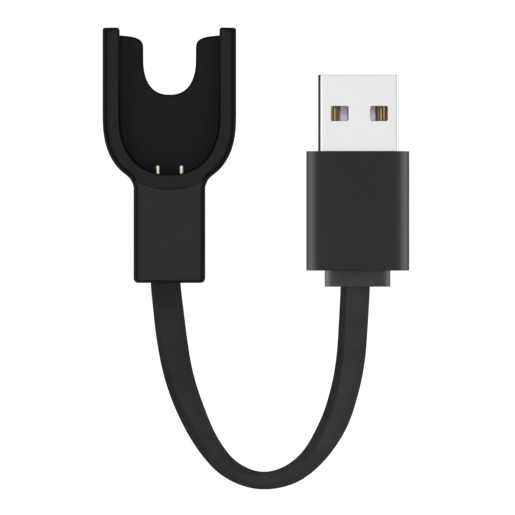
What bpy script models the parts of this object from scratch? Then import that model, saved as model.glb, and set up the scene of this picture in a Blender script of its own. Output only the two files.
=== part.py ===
"""USB charging lead for a wrist-worn tracker: a cradle, a short flat cable and a USB-A plug.

The model lies on a flat surface at z = 0. The origin is under the middle of the cradle, the
cradle's open end points along +Y and its face looks up along +Z. The cable leaves the neck
towards -Y, turns round and comes back up to the plug, which lies beside the cradle.
Sizes are in metres.
"""

import math

import bmesh
import bpy
from mathutils import Matrix, Vector

MM = 0.001
GAP = 0.3 * MM                  # between pieces that meet in the real assembly
FINE_GAP = 0.1 * MM             # round small metal pieces in their seats
THROUGH = 1.0 * MM              # how far a cutter runs past the faces it opens

# Cradle: outline
CRADLE_LENGTH = 38.0 * MM
RIM_HALF_WIDTH = 9.9 * MM
RIM_CURVE_DEPTH = 10.65 * MM    # from where the outer sides start to turn in to the round end
RIM_CURVE_POWER = 2.55          # 2 is an ellipse, higher is squarer
RECESS_HALF_WIDTH = 7.45 * MM
RECESS_CURVE_DEPTH = 9.0 * MM
RECESS_CURVE_POWER = 2.35
CURVE_START = 12.85 * MM        # from the open end to where the sides start to turn in
CURVE_STEPS = 26
ARM_CORNER = 0.35 * MM
NECK_HALF_WIDTH = 5.26 * MM
NECK_BLEND = 1.25 * MM          # how far out on the round end the neck's hollow corner starts
NECK_BLEND_TAIL = 1.15 * MM
NECK_CORNER = 0.7 * MM
NECK_DROP = 0.1 * MM            # the neck's roof lies this far below the rim
SEAM_RADIUS = 12.0 * MM         # of the line where the rim's top ends on the neck
SEAM_LENGTH = 24.1 * MM         # from the arms' ends to that line's middle

# Cradle: heights
CRADLE_HEIGHT = 10.0 * MM
BASE_PLATE = 2.0 * MM
TRAY_HEIGHT = 3.0 * MM
RIM_ROUND = 0.5 * MM
BASE_ROUND = 0.6 * MM
RIM_INNER_ROUND = 0.15 * MM

# Cradle: tray and its finger cut-out
TRAY_SET_BACK = 1.18 * MM       # from the arms' ends to the tray's front edge at the wall
TRAY_CORNER_DEPTH = 1.92 * MM   # from that edge to where the cut-out's sides run straight
TRAY_CORNER_POWER = 2.5
TRAY_BOW = 0.09 * MM            # how far the front edge dips between its ends
CUTOUT_HALF_WIDTH = 3.92 * MM
CUTOUT_LENGTH = 9.99 * MM       # from the arms' ends to the bottom of the cut-out
CUTOUT_CURVE_DEPTH = 5.4 * MM
CUTOUT_CURVE_POWER = 2.4

# Cradle: hollow neck
NECK_ROOF = 1.5 * MM
NECK_WALL = 1.4 * MM
RIM_END_WALL = 2.5 * MM         # between the recess and the hollow neck
CABLE_HOLE_WIDTH = 5.0 * MM
CABLE_HOLE_HEIGHT = 3.3 * MM
CABLE_HOLE_X = -0.6 * MM

# Spring pins
PIN_SPACING = 3.54 * MM
PIN_ABOVE_TRAY = 3.0 * MM
PIN_RADIUS = 0.35 * MM
PIN_STAND_OUT = 1.1 * MM        # the tip beyond the recess's end wall at the pin
PIN_LENGTH = 4.65 * MM
PIN_TRAVEL = 0.8 * MM
PIN_CLEARANCE = 0.07 * MM
BARREL_WALL = 0.13 * MM
BARREL_SET_BACK = 0.6 * MM      # the barrel's mouth behind the recess's end wall
BARREL_END = 0.4 * MM
SPRING_RADIUS = 0.26 * MM
SPRING_WIRE = 0.06 * MM
SPRING_TURNS = 7
SPRING_PRESSED = 1.7 * MM       # the spring's length with the pin pushed right in
PIN_BLOCK_LENGTH = 2.9 * MM

# Board, clamp and leads in the neck
BOARD_SIDE_GAP = 0.85 * MM       # between the board and the neck's walls
BOARD_LENGTH = 3.4 * MM
BOARD_THICKNESS = 0.8 * MM
CLAMP_LENGTH = 1.6 * MM
WIRE_RADIUS = 0.35 * MM
WIRE_SPREAD = 0.9 * MM          # half the distance between the two cores in the cable

# Cable
CABLE_WIDTH = 4.4 * MM
CABLE_STEP = 4.4 * MM           # one width a point, because the turn is tight
CABLE_ROUTE = (
    (-0.58, -19.3, 5.00),
    (-0.20, -22.7, 4.90),
    (0.42, -27.6, 4.50),
    (1.35, -32.4, 3.85),
    (2.95, -37.2, 3.10),
    (5.60, -42.6, 2.60),
    (8.90, -46.5, 2.42),
    (13.20, -48.3, 2.35),
    (17.60, -47.6, 2.42),
    (21.30, -44.8, 2.55),
    (24.40, -39.9, 2.75),
    (26.10, -34.8, 3.05),
    (27.00, -30.0, 3.40),
    (27.40, -24.7, 3.75),
    (27.67, -19.87, 3.90),
)

# Plug: places. The plug lies beside the cradle, flat on the same surface.
PLUG_X = 28.05 * MM
PLUG_REAR = -19.57 * MM         # the collar's end face
CABLE_X_AT_PLUG = 27.67 * MM

# Plug: cover and inner moulding
SLEEVE_WIDTH = 15.34 * MM
SLEEVE_THICKNESS = 7.8 * MM
SLEEVE_LENGTH = 17.8 * MM
SLEEVE_CORNER = 2.3 * MM
SLEEVE_REAR_WALL = 1.2 * MM
COLLAR_WIDTH = 9.7 * MM
COLLAR_THICKNESS = 4.9 * MM
COLLAR_LENGTH = 2.4 * MM
COLLAR_CORNER = 1.4 * MM
MOULD_LENGTH = 7.4 * MM         # the wide part, inside the sleeve

# Plug: USB-A sizes from the standard
SHELL_WIDTH = 12.0 * MM
SHELL_THICKNESS = 4.5 * MM
SHELL_EXPOSED = 11.4 * MM
SHELL_EMBEDDED = 7.1 * MM
SHELL_WALL = 0.3 * MM
SHELL_CORNER = 0.5 * MM
WINDOW_WIDTH = 2.6 * MM
WINDOW_LENGTH = 2.2 * MM
WINDOW_X = 2.93 * MM
WINDOW_FROM_TIP = 5.8 * MM
TONGUE_WIDTH = 11.1 * MM
TONGUE_THICKNESS = 1.84 * MM
TONGUE_FROM_TIP = 0.45 * MM
TONGUE_BLOCK_LENGTH = 5.6 * MM  # the thick rear part that fills the shell
CONTACT_THICKNESS = 0.4 * MM
CONTACT_WIDTH = 1.0 * MM
CONTACT_PROUD = 0.1 * MM
POWER_CONTACT_X = 3.5 * MM
DATA_CONTACT_X = 1.0 * MM
POWER_CONTACT_FROM_TIP = 1.1 * MM
DATA_CONTACT_FROM_TIP = 2.1 * MM
CONTACT_TAIL = 0.8 * MM

# Places worked out from the sizes above
CRADLE_FRONT = CRADLE_LENGTH / 2
CRADLE_REAR = -CRADLE_LENGTH / 2
CURVE_Y = CRADLE_FRONT - CURVE_START
RIM_BOTTOM = BASE_PLATE + GAP
HOLLOW_FRONT = CURVE_Y - RECESS_CURVE_DEPTH - RIM_END_WALL
HOLLOW_REAR = CRADLE_REAR + NECK_WALL
HOLLOW_TOP = CRADLE_HEIGHT - NECK_DROP - NECK_ROOF
HOLLOW_HALF_WIDTH = NECK_HALF_WIDTH - NECK_WALL
CABLE_HOLE_Z = CRADLE_HEIGHT / 2
PIN_HEIGHT = TRAY_HEIGHT + PIN_ABOVE_TRAY
PIN_X = PIN_SPACING / 2
BARREL_BORE = PIN_RADIUS + PIN_CLEARANCE
BARREL_RADIUS = BARREL_BORE + BARREL_WALL
SPRING_LENGTH = SPRING_PRESSED + PIN_TRAVEL
PLUG_Z = SLEEVE_THICKNESS / 2
SLEEVE_REAR = PLUG_REAR + COLLAR_LENGTH
SLEEVE_FRONT = SLEEVE_REAR + SLEEVE_LENGTH
SHELL_TIP = SLEEVE_FRONT + SHELL_EXPOSED
SHELL_REAR = SLEEVE_FRONT - SHELL_EMBEDDED
MOULD_REAR = SLEEVE_REAR + SLEEVE_REAR_WALL + GAP
MOULD_FRONT = MOULD_REAR + MOULD_LENGTH
TONGUE_BOTTOM = PLUG_Z - SHELL_THICKNESS / 2 + SHELL_WALL + GAP
TONGUE_TOP = TONGUE_BOTTOM + TONGUE_THICKNESS
TONGUE_REAR = SHELL_REAR + 2 * GAP

# name: (red, green, blue), roughness, metallic
FINISHES = {
    "rim_plastic": ((0.0195, 0.0195, 0.0195), 0.42, 0.0),
    "base_plastic": ((0.0140, 0.0125, 0.0130), 0.55, 0.0),
    "insert_plastic": ((0.0200, 0.0200, 0.0210), 0.60, 0.0),
    "pin_gold": ((0.830, 0.610, 0.330), 0.22, 1.0),
    "barrel_brass": ((0.720, 0.520, 0.240), 0.35, 1.0),
    "spring_steel": ((0.620, 0.620, 0.630), 0.30, 1.0),
    "board_green": ((0.015, 0.090, 0.035), 0.50, 0.0),
    "wire_red": ((0.450, 0.020, 0.015), 0.50, 0.0),
    "wire_black": ((0.012, 0.012, 0.012), 0.50, 0.0),
    "cable_rubber": ((0.0290, 0.0290, 0.0305), 0.55, 0.0),
    "sleeve_plastic": ((0.0290, 0.0290, 0.0290), 0.40, 0.0),
    "collar_plastic": ((0.0480, 0.0480, 0.0480), 0.50, 0.0),
    "shell_steel": ((0.800, 0.800, 0.800), 0.20, 1.0),
    "tongue_white": ((0.720, 0.720, 0.760), 0.45, 0.0),
    "contact_gold": ((0.800, 0.560, 0.240), 0.25, 1.0),
}


# ---------------------------------------------------------------------------
# Scene, materials and collections
# ---------------------------------------------------------------------------

def clear_scene():
    """Remove every object, so the script can be run again in the same file."""
    for old in list(bpy.data.objects):
        bpy.data.objects.remove(old, do_unlink=True)


def make_collection(name):
    """Return a new collection linked to the scene."""
    collection = bpy.data.collections.new(name)
    bpy.context.scene.collection.children.link(collection)
    return collection


def make_material(name):
    """Return a Principled material with the named finish."""
    colour, roughness, metallic = FINISHES[name]
    material = bpy.data.materials.new(name)
    material.use_nodes = True
    shader = material.node_tree.nodes["Principled BSDF"]
    shader.inputs["Base Color"].default_value = (*colour, 1.0)
    shader.inputs["Roughness"].default_value = roughness
    shader.inputs["Metallic"].default_value = metallic
    return material


clear_scene()
PARTS = make_collection("tracker_charging_lead")
CUTTERS = make_collection("cutters")
MATERIALS = {name: make_material(name) for name in FINISHES}


def add_part(name, mesh, finish):
    """Put a mesh in the scene as a named piece with its finish."""
    part = bpy.data.objects.new(name, mesh)
    PARTS.objects.link(part)
    mesh.materials.clear()
    mesh.materials.append(MATERIALS[finish])
    return part


def add_cutter(name, mesh):
    """Put a mesh in the scene as a cutter, which is no piece of the object."""
    cutter = bpy.data.objects.new(name, mesh)
    CUTTERS.objects.link(cutter)
    cutter.hide_render = True
    cutter.display_type = "WIRE"
    return cutter


# ---------------------------------------------------------------------------
# Shapes
# ---------------------------------------------------------------------------

def mesh_from(bm, name):
    """Turn a bmesh into a mesh with its faces pointing out."""
    bmesh.ops.recalc_face_normals(bm, faces=bm.faces[:])
    mesh = bpy.data.meshes.new(name)
    bm.to_mesh(mesh)
    bm.free()
    return mesh


def box_mesh(name, low, high):
    """Return a box between two corners."""
    low = Vector(low)
    high = Vector(high)
    bm = bmesh.new()
    place = Matrix.Translation((low + high) / 2) @ Matrix.Diagonal((*(high - low), 1.0))
    bmesh.ops.create_cube(bm, size=1.0, matrix=place)
    return mesh_from(bm, name)


def rod_mesh(name, x, z, y_rear, y_front, radius, sides=24):
    """Return a round bar along Y."""
    bm = bmesh.new()
    turn = Matrix.Rotation(math.radians(90), 4, "X")
    place = Matrix.Translation((x, (y_rear + y_front) / 2, z)) @ turn
    bmesh.ops.create_cone(bm, cap_ends=True, segments=sides, radius1=radius, radius2=radius,
                          depth=y_front - y_rear, matrix=place)
    return mesh_from(bm, name)


def plate_mesh(name, outline, z_low, z_high):
    """Return a flat outline of (x, y) points given a thickness, as a closed mesh."""
    curve = bpy.data.curves.new(name, "CURVE")
    curve.dimensions = "2D"
    curve.fill_mode = "BOTH"
    curve.extrude = (z_high - z_low) / 2
    spline = curve.splines.new("POLY")
    spline.points.add(len(outline) - 1)
    for point, (x, y) in zip(spline.points, outline):
        point.co = (x, y, 0.0, 1.0)
    spline.use_cyclic_u = True
    holder = bpy.data.objects.new(name, curve)
    bpy.context.scene.collection.objects.link(holder)
    bpy.context.view_layer.update()
    depsgraph = bpy.context.evaluated_depsgraph_get()
    mesh = bpy.data.meshes.new_from_object(holder.evaluated_get(depsgraph))
    bpy.data.objects.remove(holder, do_unlink=True)
    bm = bmesh.new()
    bm.from_mesh(mesh)
    bpy.data.meshes.remove(mesh)
    bmesh.ops.remove_doubles(bm, verts=bm.verts[:], dist=0.001 * MM)
    bmesh.ops.dissolve_limit(bm, angle_limit=math.radians(0.5), verts=bm.verts[:],
                             edges=bm.edges[:])
    bmesh.ops.translate(bm, verts=bm.verts[:], vec=(0.0, 0.0, (z_low + z_high) / 2))
    return mesh_from(bm, name)


def bevel_rim(mesh, z, width, segments, keep=None):
    """Round the edges of a plate's flat face at height z, all of them or those that keep accepts."""
    bm = bmesh.new()
    bm.from_mesh(mesh)
    edges = []
    for edge in bm.edges:
        flat = all(abs(vert.co.z - z) < 0.01 * MM for vert in edge.verts)
        sharp = edge.calc_face_angle(0.0) > math.radians(60)
        if flat and sharp and (keep is None or keep(edge)):
            edges.append(edge)
    bmesh.ops.bevel(bm, geom=edges, offset=width, offset_type="OFFSET", segments=segments,
                    profile=0.5, affect="EDGES", clamp_overlap=True)
    bm.to_mesh(mesh)
    bm.free()


def apply_boolean(part, cutters, operation="DIFFERENCE"):
    """Give a piece one exact Boolean modifier for each other object."""
    for number, cutter in enumerate(cutters):
        modifier = part.modifiers.new(f"{operation.lower()}_{number}", "BOOLEAN")
        modifier.operation = operation
        modifier.object = cutter
        modifier.solver = "EXACT"


def smooth_by_angle(mesh, degrees=35):
    """Shade the round faces smooth and keep the corners sharp."""
    mesh.shade_smooth()
    mesh.set_sharp_from_angle(angle=math.radians(degrees))


def arc(centre_x, centre_y, radius, start, end, steps=5):
    """Return points on a circle's arc, angles in degrees."""
    points = []
    for step in range(steps + 1):
        angle = math.radians(start + (end - start) * step / steps)
        points.append((centre_x + radius * math.cos(angle), centre_y + radius * math.sin(angle)))
    return points


def mirrored(half):
    """Close a right-hand half outline with its mirror image. A point with x = 0 is kept once."""
    return half + [(-x, y) for x, y in reversed(half) if x > 0]


def round_end(half_width, depth, y_start, power, steps=CURVE_STEPS):
    """Return the right half of a superellipse end, from (half_width, y_start) to (0, y_start - depth)."""
    points = []
    for step in range(steps + 1):
        angle = math.radians(90) * step / steps
        x = half_width * max(math.cos(angle), 0.0) ** (2 / power)
        y = y_start - depth * math.sin(angle) ** (2 / power)
        points.append((x, y))
    points[-1] = (0.0, y_start - depth)
    return points


def round_end_at(x, half_width, depth, y_start, power):
    """Return where round_end's curve passes a distance x from the middle."""
    return y_start - depth * (1 - (abs(x) / half_width) ** power) ** (1 / power)


def rounded_box_outline(half_width, half_height, corner, steps=5):
    """Return a rectangle with round corners, centred on the origin."""
    points = []
    for sign_x, sign_y, start in ((1, 1, 0), (-1, 1, 90), (-1, -1, 180), (1, -1, 270)):
        points += arc(sign_x * (half_width - corner), sign_y * (half_height - corner), corner,
                      start, start + 90, steps)
    return points


def bar_mesh(name, x, z, y_rear, y_front, width, height, corner, steps=5):
    """Return a bar along Y with a round-cornered section, centred on (x, z)."""
    outline = rounded_box_outline(width / 2, height / 2, corner, steps)
    mesh = plate_mesh(name, outline, -y_front, -y_rear)
    mesh.transform(Matrix.Translation((x, 0.0, z)) @ Matrix.Rotation(math.radians(90), 4, "X"))
    return mesh


def smooth_route(route, step):
    """Return points about a step apart on a smooth curve through the route's own points."""
    knots = [Vector(point) * MM for point in route]
    padded = [2 * knots[0] - knots[1]] + knots + [2 * knots[-1] - knots[-2]]
    points = []
    for before, start, end, after in zip(padded, padded[1:], padded[2:], padded[3:]):
        count = max(1, round((end - start).length / step))
        for index in range(count):
            t = index / count
            points.append(0.5 * (2 * start + (end - before) * t
                                 + (2 * before - 5 * start + 4 * end - after) * t ** 2
                                 + (3 * start - before - 3 * end + after) * t ** 3))
    points.append(knots[-1])
    return points


def tube(name, points, radius, finish, bevel_resolution=2):
    """Return a round tube along points, as a curve with filled caps."""
    curve = bpy.data.curves.new(name, "CURVE")
    curve.dimensions = "3D"
    curve.bevel_depth = radius
    curve.bevel_resolution = bevel_resolution
    curve.use_fill_caps = True
    spline = curve.splines.new("POLY")
    spline.points.add(len(points) - 1)
    for target, point in zip(spline.points, points):
        target.co = (*point, 1.0)
    curve.materials.append(MATERIALS[finish])
    part = bpy.data.objects.new(name, curve)
    PARTS.objects.link(part)
    return part


# ---------------------------------------------------------------------------
# Cradle
# ---------------------------------------------------------------------------

def arm_outside():
    """Return the outer corner of the right arm's end, listed from inside to outside."""
    return arc(RIM_HALF_WIDTH - ARM_CORNER, CRADLE_FRONT - ARM_CORNER, ARM_CORNER, 90, 0, 3)


def rim_side():
    """Return the right outer side of the rim, from the arm's end to where the neck's corner starts."""
    end = round_end(RIM_HALF_WIDTH, RIM_CURVE_DEPTH, CURVE_Y, RIM_CURVE_POWER)
    last_x = NECK_HALF_WIDTH + NECK_BLEND
    return (arm_outside() + [point for point in end if point[0] > last_x + GAP]
            + [(last_x, rim_end_at(last_x))])


def rim_end_at(x):
    """Return where the rim's round end would stand at a distance x from the middle."""
    return round_end_at(x, RIM_HALF_WIDTH, RIM_CURVE_DEPTH, CURVE_Y, RIM_CURVE_POWER)


def neck_blend():
    """Return the hollow corner between the round end and the neck's right side."""
    start = Vector(rim_side()[-1])
    slope = (start.y - rim_end_at(start.x - FINE_GAP)) / FINE_GAP
    meet = Vector((NECK_HALF_WIDTH, start.y - slope * NECK_BLEND))
    end = Vector((NECK_HALF_WIDTH, meet.y - NECK_BLEND_TAIL))
    blend = []
    for step in range(1, 9):
        t = step / 8
        point = (1 - t) ** 2 * start + 2 * t * (1 - t) * meet + t ** 2 * end
        blend.append((point.x, point.y))
    return blend


def neck_side():
    """Return the right side of the neck, with its hollow corner above and round corner below."""
    corner = arc(NECK_HALF_WIDTH - NECK_CORNER, CRADLE_REAR + NECK_CORNER, NECK_CORNER, 0, -90, 4)
    return neck_blend() + corner


def rim_seam():
    """Return the right half of the line where the rim's top ends on the neck, outside to middle."""
    middle_y = CRADLE_FRONT - SEAM_LENGTH + SEAM_RADIUS
    above = [(x - FINE_GAP / 2, y) for x, y in neck_blend()
             if y > middle_y - math.sqrt(SEAM_RADIUS ** 2 - x ** 2) + GAP / 2]
    reach = math.asin(above[-1][0] / SEAM_RADIUS)
    seam = []
    for step in range(1, 11):
        angle = reach * (1 - step / 10)
        seam.append((SEAM_RADIUS * math.sin(angle), middle_y - SEAM_RADIUS * math.cos(angle)))
    return above + seam


def arm_inside():
    """Return the inner corner of the right arm's end, listed from inside to outside."""
    return arc(RECESS_HALF_WIDTH + ARM_CORNER, CRADLE_FRONT - ARM_CORNER, ARM_CORNER, 180, 90, 3)


def is_recess_edge(edge):
    """Say whether an edge of the rim's top face belongs to the recess and not to the outside."""
    middle = (edge.verts[0].co + edge.verts[1].co) / 2
    beside = abs(middle.x) < RECESS_HALF_WIDTH + ARM_CORNER / 2
    return beside and middle.y > CURVE_Y - RECESS_CURVE_DEPTH - GAP


def build_cradle_frame():
    """Upper moulding: the rim and the neck's roof and walls, with the hollow and its holes."""
    recess = list(reversed(round_end(RECESS_HALF_WIDTH, RECESS_CURVE_DEPTH, CURVE_Y,
                                     RECESS_CURVE_POWER)))
    outside = rim_side() + rim_seam()
    rim = plate_mesh("cradle_frame", mirrored(recess + arm_inside() + outside), RIM_BOTTOM,
                     CRADLE_HEIGHT)
    bevel_rim(rim, CRADLE_HEIGHT, RIM_ROUND, 3, lambda edge: not is_recess_edge(edge))
    frame = add_part("cradle_frame", rim, "rim_plastic")

    neck_top = CRADLE_HEIGHT - NECK_DROP
    neck_front = CURVE_Y - RECESS_CURVE_DEPTH - GAP
    corner_x, corner_y = rim_side()[-1]
    neck_half = [(0.0, neck_front), (NECK_HALF_WIDTH, neck_front), (corner_x, corner_y)]
    neck = plate_mesh("neck", mirrored(neck_half + neck_side()), RIM_BOTTOM, neck_top)
    bevel_rim(neck, neck_top, RIM_ROUND, 3,
              lambda edge: min(vert.co.y for vert in edge.verts) < corner_y - GAP)
    apply_boolean(frame, [add_cutter("neck", neck)], "UNION")

    hollow = add_cutter("neck_hollow", box_mesh(
        "neck_hollow", (-HOLLOW_HALF_WIDTH, HOLLOW_REAR, RIM_BOTTOM - THROUGH),
        (HOLLOW_HALF_WIDTH, HOLLOW_FRONT, HOLLOW_TOP)))
    slot = add_cutter("cable_slot", bar_mesh(
        "cable_slot", CABLE_HOLE_X, CABLE_HOLE_Z, CRADLE_REAR - THROUGH, HOLLOW_REAR + THROUGH,
        CABLE_HOLE_WIDTH, CABLE_HOLE_HEIGHT, CABLE_HOLE_HEIGHT * 0.3))
    holes = []
    for side, name in ((-1, "left"), (1, "right")):
        holes.append(add_cutter(f"pin_hole_{name}", rod_mesh(
            f"pin_hole_{name}", side * PIN_X, PIN_HEIGHT, HOLLOW_FRONT - THROUGH,
            CURVE_Y - RECESS_CURVE_DEPTH + 2 * THROUGH, BARREL_RADIUS + FINE_GAP)))
    apply_boolean(frame, [hollow, slot] + holes)


def tray_edge(clearance):
    """Return the right half of the tray's front: wall, front edge, corner and cut-out."""
    wall_x = RECESS_HALF_WIDTH - clearance
    wall_y = CRADLE_FRONT - TRAY_SET_BACK
    cutout_y = CRADLE_FRONT - CUTOUT_LENGTH + CUTOUT_CURVE_DEPTH
    bottom = round_end(CUTOUT_HALF_WIDTH, CUTOUT_CURVE_DEPTH, cutout_y, CUTOUT_CURVE_POWER, 14)
    front = []
    for step in range(11):
        angle = math.radians(90) * (1 - step / 10)
        reach = max(math.cos(angle), 0.0) ** (2 / TRAY_CORNER_POWER)
        rise = math.sin(angle) ** (2 / TRAY_CORNER_POWER)
        front.append((wall_x - (wall_x - CUTOUT_HALF_WIDTH) * reach,
                      wall_y - TRAY_CORNER_DEPTH * (1 - rise) - TRAY_BOW * 4 * reach * (1 - reach)))
    return front + bottom


def build_cradle_base():
    """Lower moulding: a plate under the whole cradle with the raised tray floor on it."""
    front = list(reversed(tray_edge(0.0)))
    plate = plate_mesh("cradle_base", mirrored(front + arm_inside() + rim_side() + neck_side()),
                       0.0, BASE_PLATE)
    bevel_rim(plate, 0.0, BASE_ROUND, 3)
    base = add_part("cradle_base", plate, "base_plastic")

    tray_half = list(reversed(tray_edge(GAP)))
    tray_half += round_end(RECESS_HALF_WIDTH - GAP, RECESS_CURVE_DEPTH - GAP, CURVE_Y,
                           RECESS_CURVE_POWER)
    tray = plate_mesh("tray", mirrored(tray_half), BASE_PLATE / 2, TRAY_HEIGHT)
    bevel_rim(tray, TRAY_HEIGHT, RIM_INNER_ROUND, 1)
    apply_boolean(base, [add_cutter("tray", tray)], "UNION")


def build_spring_pins():
    """Barrels, plungers and springs, one set on each side."""
    wall_y = recess_end_at(PIN_X)
    barrel_front = wall_y - BARREL_SET_BACK
    tip_y = wall_y + PIN_STAND_OUT
    tail_y = tip_y - PIN_LENGTH
    spring_front = tail_y - FINE_GAP
    bore_rear = spring_front - SPRING_LENGTH - 2 * SPRING_WIRE - FINE_GAP
    for side, name in ((-1, "left"), (1, "right")):
        x = side * PIN_X
        barrel = add_part(f"pogo_barrel_{name}", turned_mesh(
            f"pogo_barrel_{name}",
            [(0.0, bore_rear), (BARREL_BORE, bore_rear), (BARREL_BORE, barrel_front),
             (BARREL_RADIUS, barrel_front), (BARREL_RADIUS, bore_rear - BARREL_END),
             (0.0, bore_rear - BARREL_END)], x, PIN_HEIGHT), "barrel_brass")
        smooth_by_angle(barrel.data)

        dome = []
        for step in range(7):
            angle = math.radians(90) * step / 6
            dome.append((PIN_RADIUS * math.sin(angle), tip_y - PIN_RADIUS * (1 - math.cos(angle))))
        dome[0] = (0.0, tip_y)
        plunger = add_part(f"pogo_plunger_{name}", turned_mesh(
            f"pogo_plunger_{name}", dome + [(PIN_RADIUS, tail_y), (0.0, tail_y)], x, PIN_HEIGHT),
            "pin_gold")
        smooth_by_angle(plunger.data)

        turns = []
        per_turn = 10
        for step in range(SPRING_TURNS * per_turn + 1):
            angle = math.radians(360) * step / per_turn
            share = step / (SPRING_TURNS * per_turn)
            turns.append(Vector((x + SPRING_RADIUS * math.cos(angle),
                                 spring_front - SPRING_WIRE - SPRING_LENGTH * share,
                                 PIN_HEIGHT + SPRING_RADIUS * math.sin(angle))))
        tube(f"pogo_spring_{name}", turns, SPRING_WIRE, "spring_steel", bevel_resolution=1)


def recess_end_at(x):
    """Return where the recess's end wall stands at a distance x from the middle."""
    return round_end_at(x, RECESS_HALF_WIDTH, RECESS_CURVE_DEPTH, CURVE_Y, RECESS_CURVE_POWER)


def turned_mesh(name, profile, x, z, sides=24):
    """Return a piece turned about a line along Y, from (radius, y) points, with closed ends."""
    bm = bmesh.new()
    verts = [bm.verts.new((radius, y, 0.0)) for radius, y in profile]
    for start, end in zip(verts, verts[1:]):
        bm.edges.new((start, end))
    bmesh.ops.spin(bm, geom=bm.verts[:] + bm.edges[:], cent=(0.0, 0.0, 0.0), axis=(0.0, 1.0, 0.0),
                   angle=math.radians(360), steps=sides, use_merge=True)
    bmesh.ops.remove_doubles(bm, verts=bm.verts[:], dist=0.001 * MM)
    bmesh.ops.translate(bm, verts=bm.verts[:], vec=(x, 0.0, z))
    return mesh_from(bm, name)


def build_neck_inside():
    """Pin block, board, clamp and the two leads inside the neck."""
    block_front = HOLLOW_FRONT - GAP
    block_rear = block_front - PIN_BLOCK_LENGTH
    insert_half_width = HOLLOW_HALF_WIDTH - GAP
    insert_top = HOLLOW_TOP - GAP
    block = add_part("pin_block", box_mesh(
        "pin_block", (-insert_half_width, block_rear, RIM_BOTTOM),
        (insert_half_width, block_front, insert_top)), "insert_plastic")
    seats = []
    for side, name in ((-1, "left"), (1, "right")):
        seats.append(add_cutter(f"barrel_seat_{name}", rod_mesh(
            f"barrel_seat_{name}", side * PIN_X, PIN_HEIGHT, block_rear - THROUGH,
            block_front + THROUGH, BARREL_RADIUS + FINE_GAP)))
    apply_boolean(block, seats)

    wall_y = recess_end_at(PIN_X)
    barrel_rear = (wall_y + PIN_STAND_OUT - PIN_LENGTH - 2 * FINE_GAP - SPRING_LENGTH
                   - 2 * SPRING_WIRE - BARREL_END)
    board_front = min(barrel_rear, block_rear) - GAP
    board_rear = board_front - BOARD_LENGTH
    board_half_width = HOLLOW_HALF_WIDTH - BOARD_SIDE_GAP
    add_part("dock_board", box_mesh(
        "dock_board", (-board_half_width, board_rear, PIN_HEIGHT - BOARD_THICKNESS / 2),
        (board_half_width, board_front, PIN_HEIGHT + BOARD_THICKNESS / 2)), "board_green")

    clamp_rear = HOLLOW_REAR + GAP
    clamp = add_part("dock_cable_clamp", box_mesh(
        "dock_cable_clamp", (-insert_half_width, clamp_rear, RIM_BOTTOM),
        (insert_half_width, clamp_rear + CLAMP_LENGTH, insert_top)), "insert_plastic")
    passage = add_cutter("clamp_passage", bar_mesh(
        "clamp_passage", CABLE_HOLE_X, CABLE_HOLE_Z, clamp_rear - THROUGH,
        clamp_rear + CLAMP_LENGTH + THROUGH, CABLE_HOLE_WIDTH, CABLE_HOLE_HEIGHT,
        CABLE_HOLE_HEIGHT * 0.3))
    apply_boolean(clamp, [passage])

    start_y = board_rear - GAP
    end_y = CRADLE_REAR + NECK_WALL
    for side, name in ((-1, "negative"), (1, "positive")):
        route = [Vector((side * PIN_X, start_y, PIN_HEIGHT)),
                 Vector((side * PIN_X, start_y * 0.8 + end_y * 0.2, PIN_HEIGHT)),
                 Vector((CABLE_HOLE_X + side * WIRE_SPREAD, start_y * 0.4 + end_y * 0.6,
                         CABLE_HOLE_Z)),
                 Vector((CABLE_HOLE_X + side * WIRE_SPREAD, end_y, CABLE_HOLE_Z))]
        finish = "wire_red" if side > 0 else "wire_black"
        tube(f"dock_wire_{name}", soften(route), WIRE_RADIUS, finish)


def soften(route):
    """Return a few more points on a smooth curve through a short lead's corners."""
    return smooth_route([tuple(point / MM) for point in route], 1.0 * MM)


# ---------------------------------------------------------------------------
# Cable and plug
# ---------------------------------------------------------------------------

def build_cable():
    """The flat cable's plain solid: a round bar as thick as the cable is wide."""
    tube("flat_cable", smooth_route(CABLE_ROUTE, CABLE_STEP), CABLE_WIDTH / 2, "cable_rubber",
         bevel_resolution=3)


def build_plug_sleeve():
    """Outer cover: a straight tube whose rear wall is open only for the collar."""
    sleeve = add_part("plug_sleeve", bar_mesh(
        "plug_sleeve", PLUG_X, PLUG_Z, SLEEVE_REAR, SLEEVE_FRONT, SLEEVE_WIDTH, SLEEVE_THICKNESS,
        SLEEVE_CORNER, 8), "sleeve_plastic")
    bore = add_cutter("sleeve_bore", bar_mesh(
        "sleeve_bore", PLUG_X, PLUG_Z, SLEEVE_REAR + SLEEVE_REAR_WALL, SLEEVE_FRONT + THROUGH,
        SHELL_WIDTH + 2 * GAP, SHELL_THICKNESS + 2 * GAP, SHELL_CORNER + GAP))
    rear = add_cutter("sleeve_rear_opening", bar_mesh(
        "sleeve_rear_opening", PLUG_X, PLUG_Z, SLEEVE_REAR - THROUGH,
        SLEEVE_REAR + SLEEVE_REAR_WALL + THROUGH, COLLAR_WIDTH + 2 * FINE_GAP,
        COLLAR_THICKNESS + 2 * FINE_GAP, COLLAR_CORNER + FINE_GAP))
    apply_boolean(sleeve, [bore, rear])
    smooth_by_angle(sleeve.data)


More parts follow.
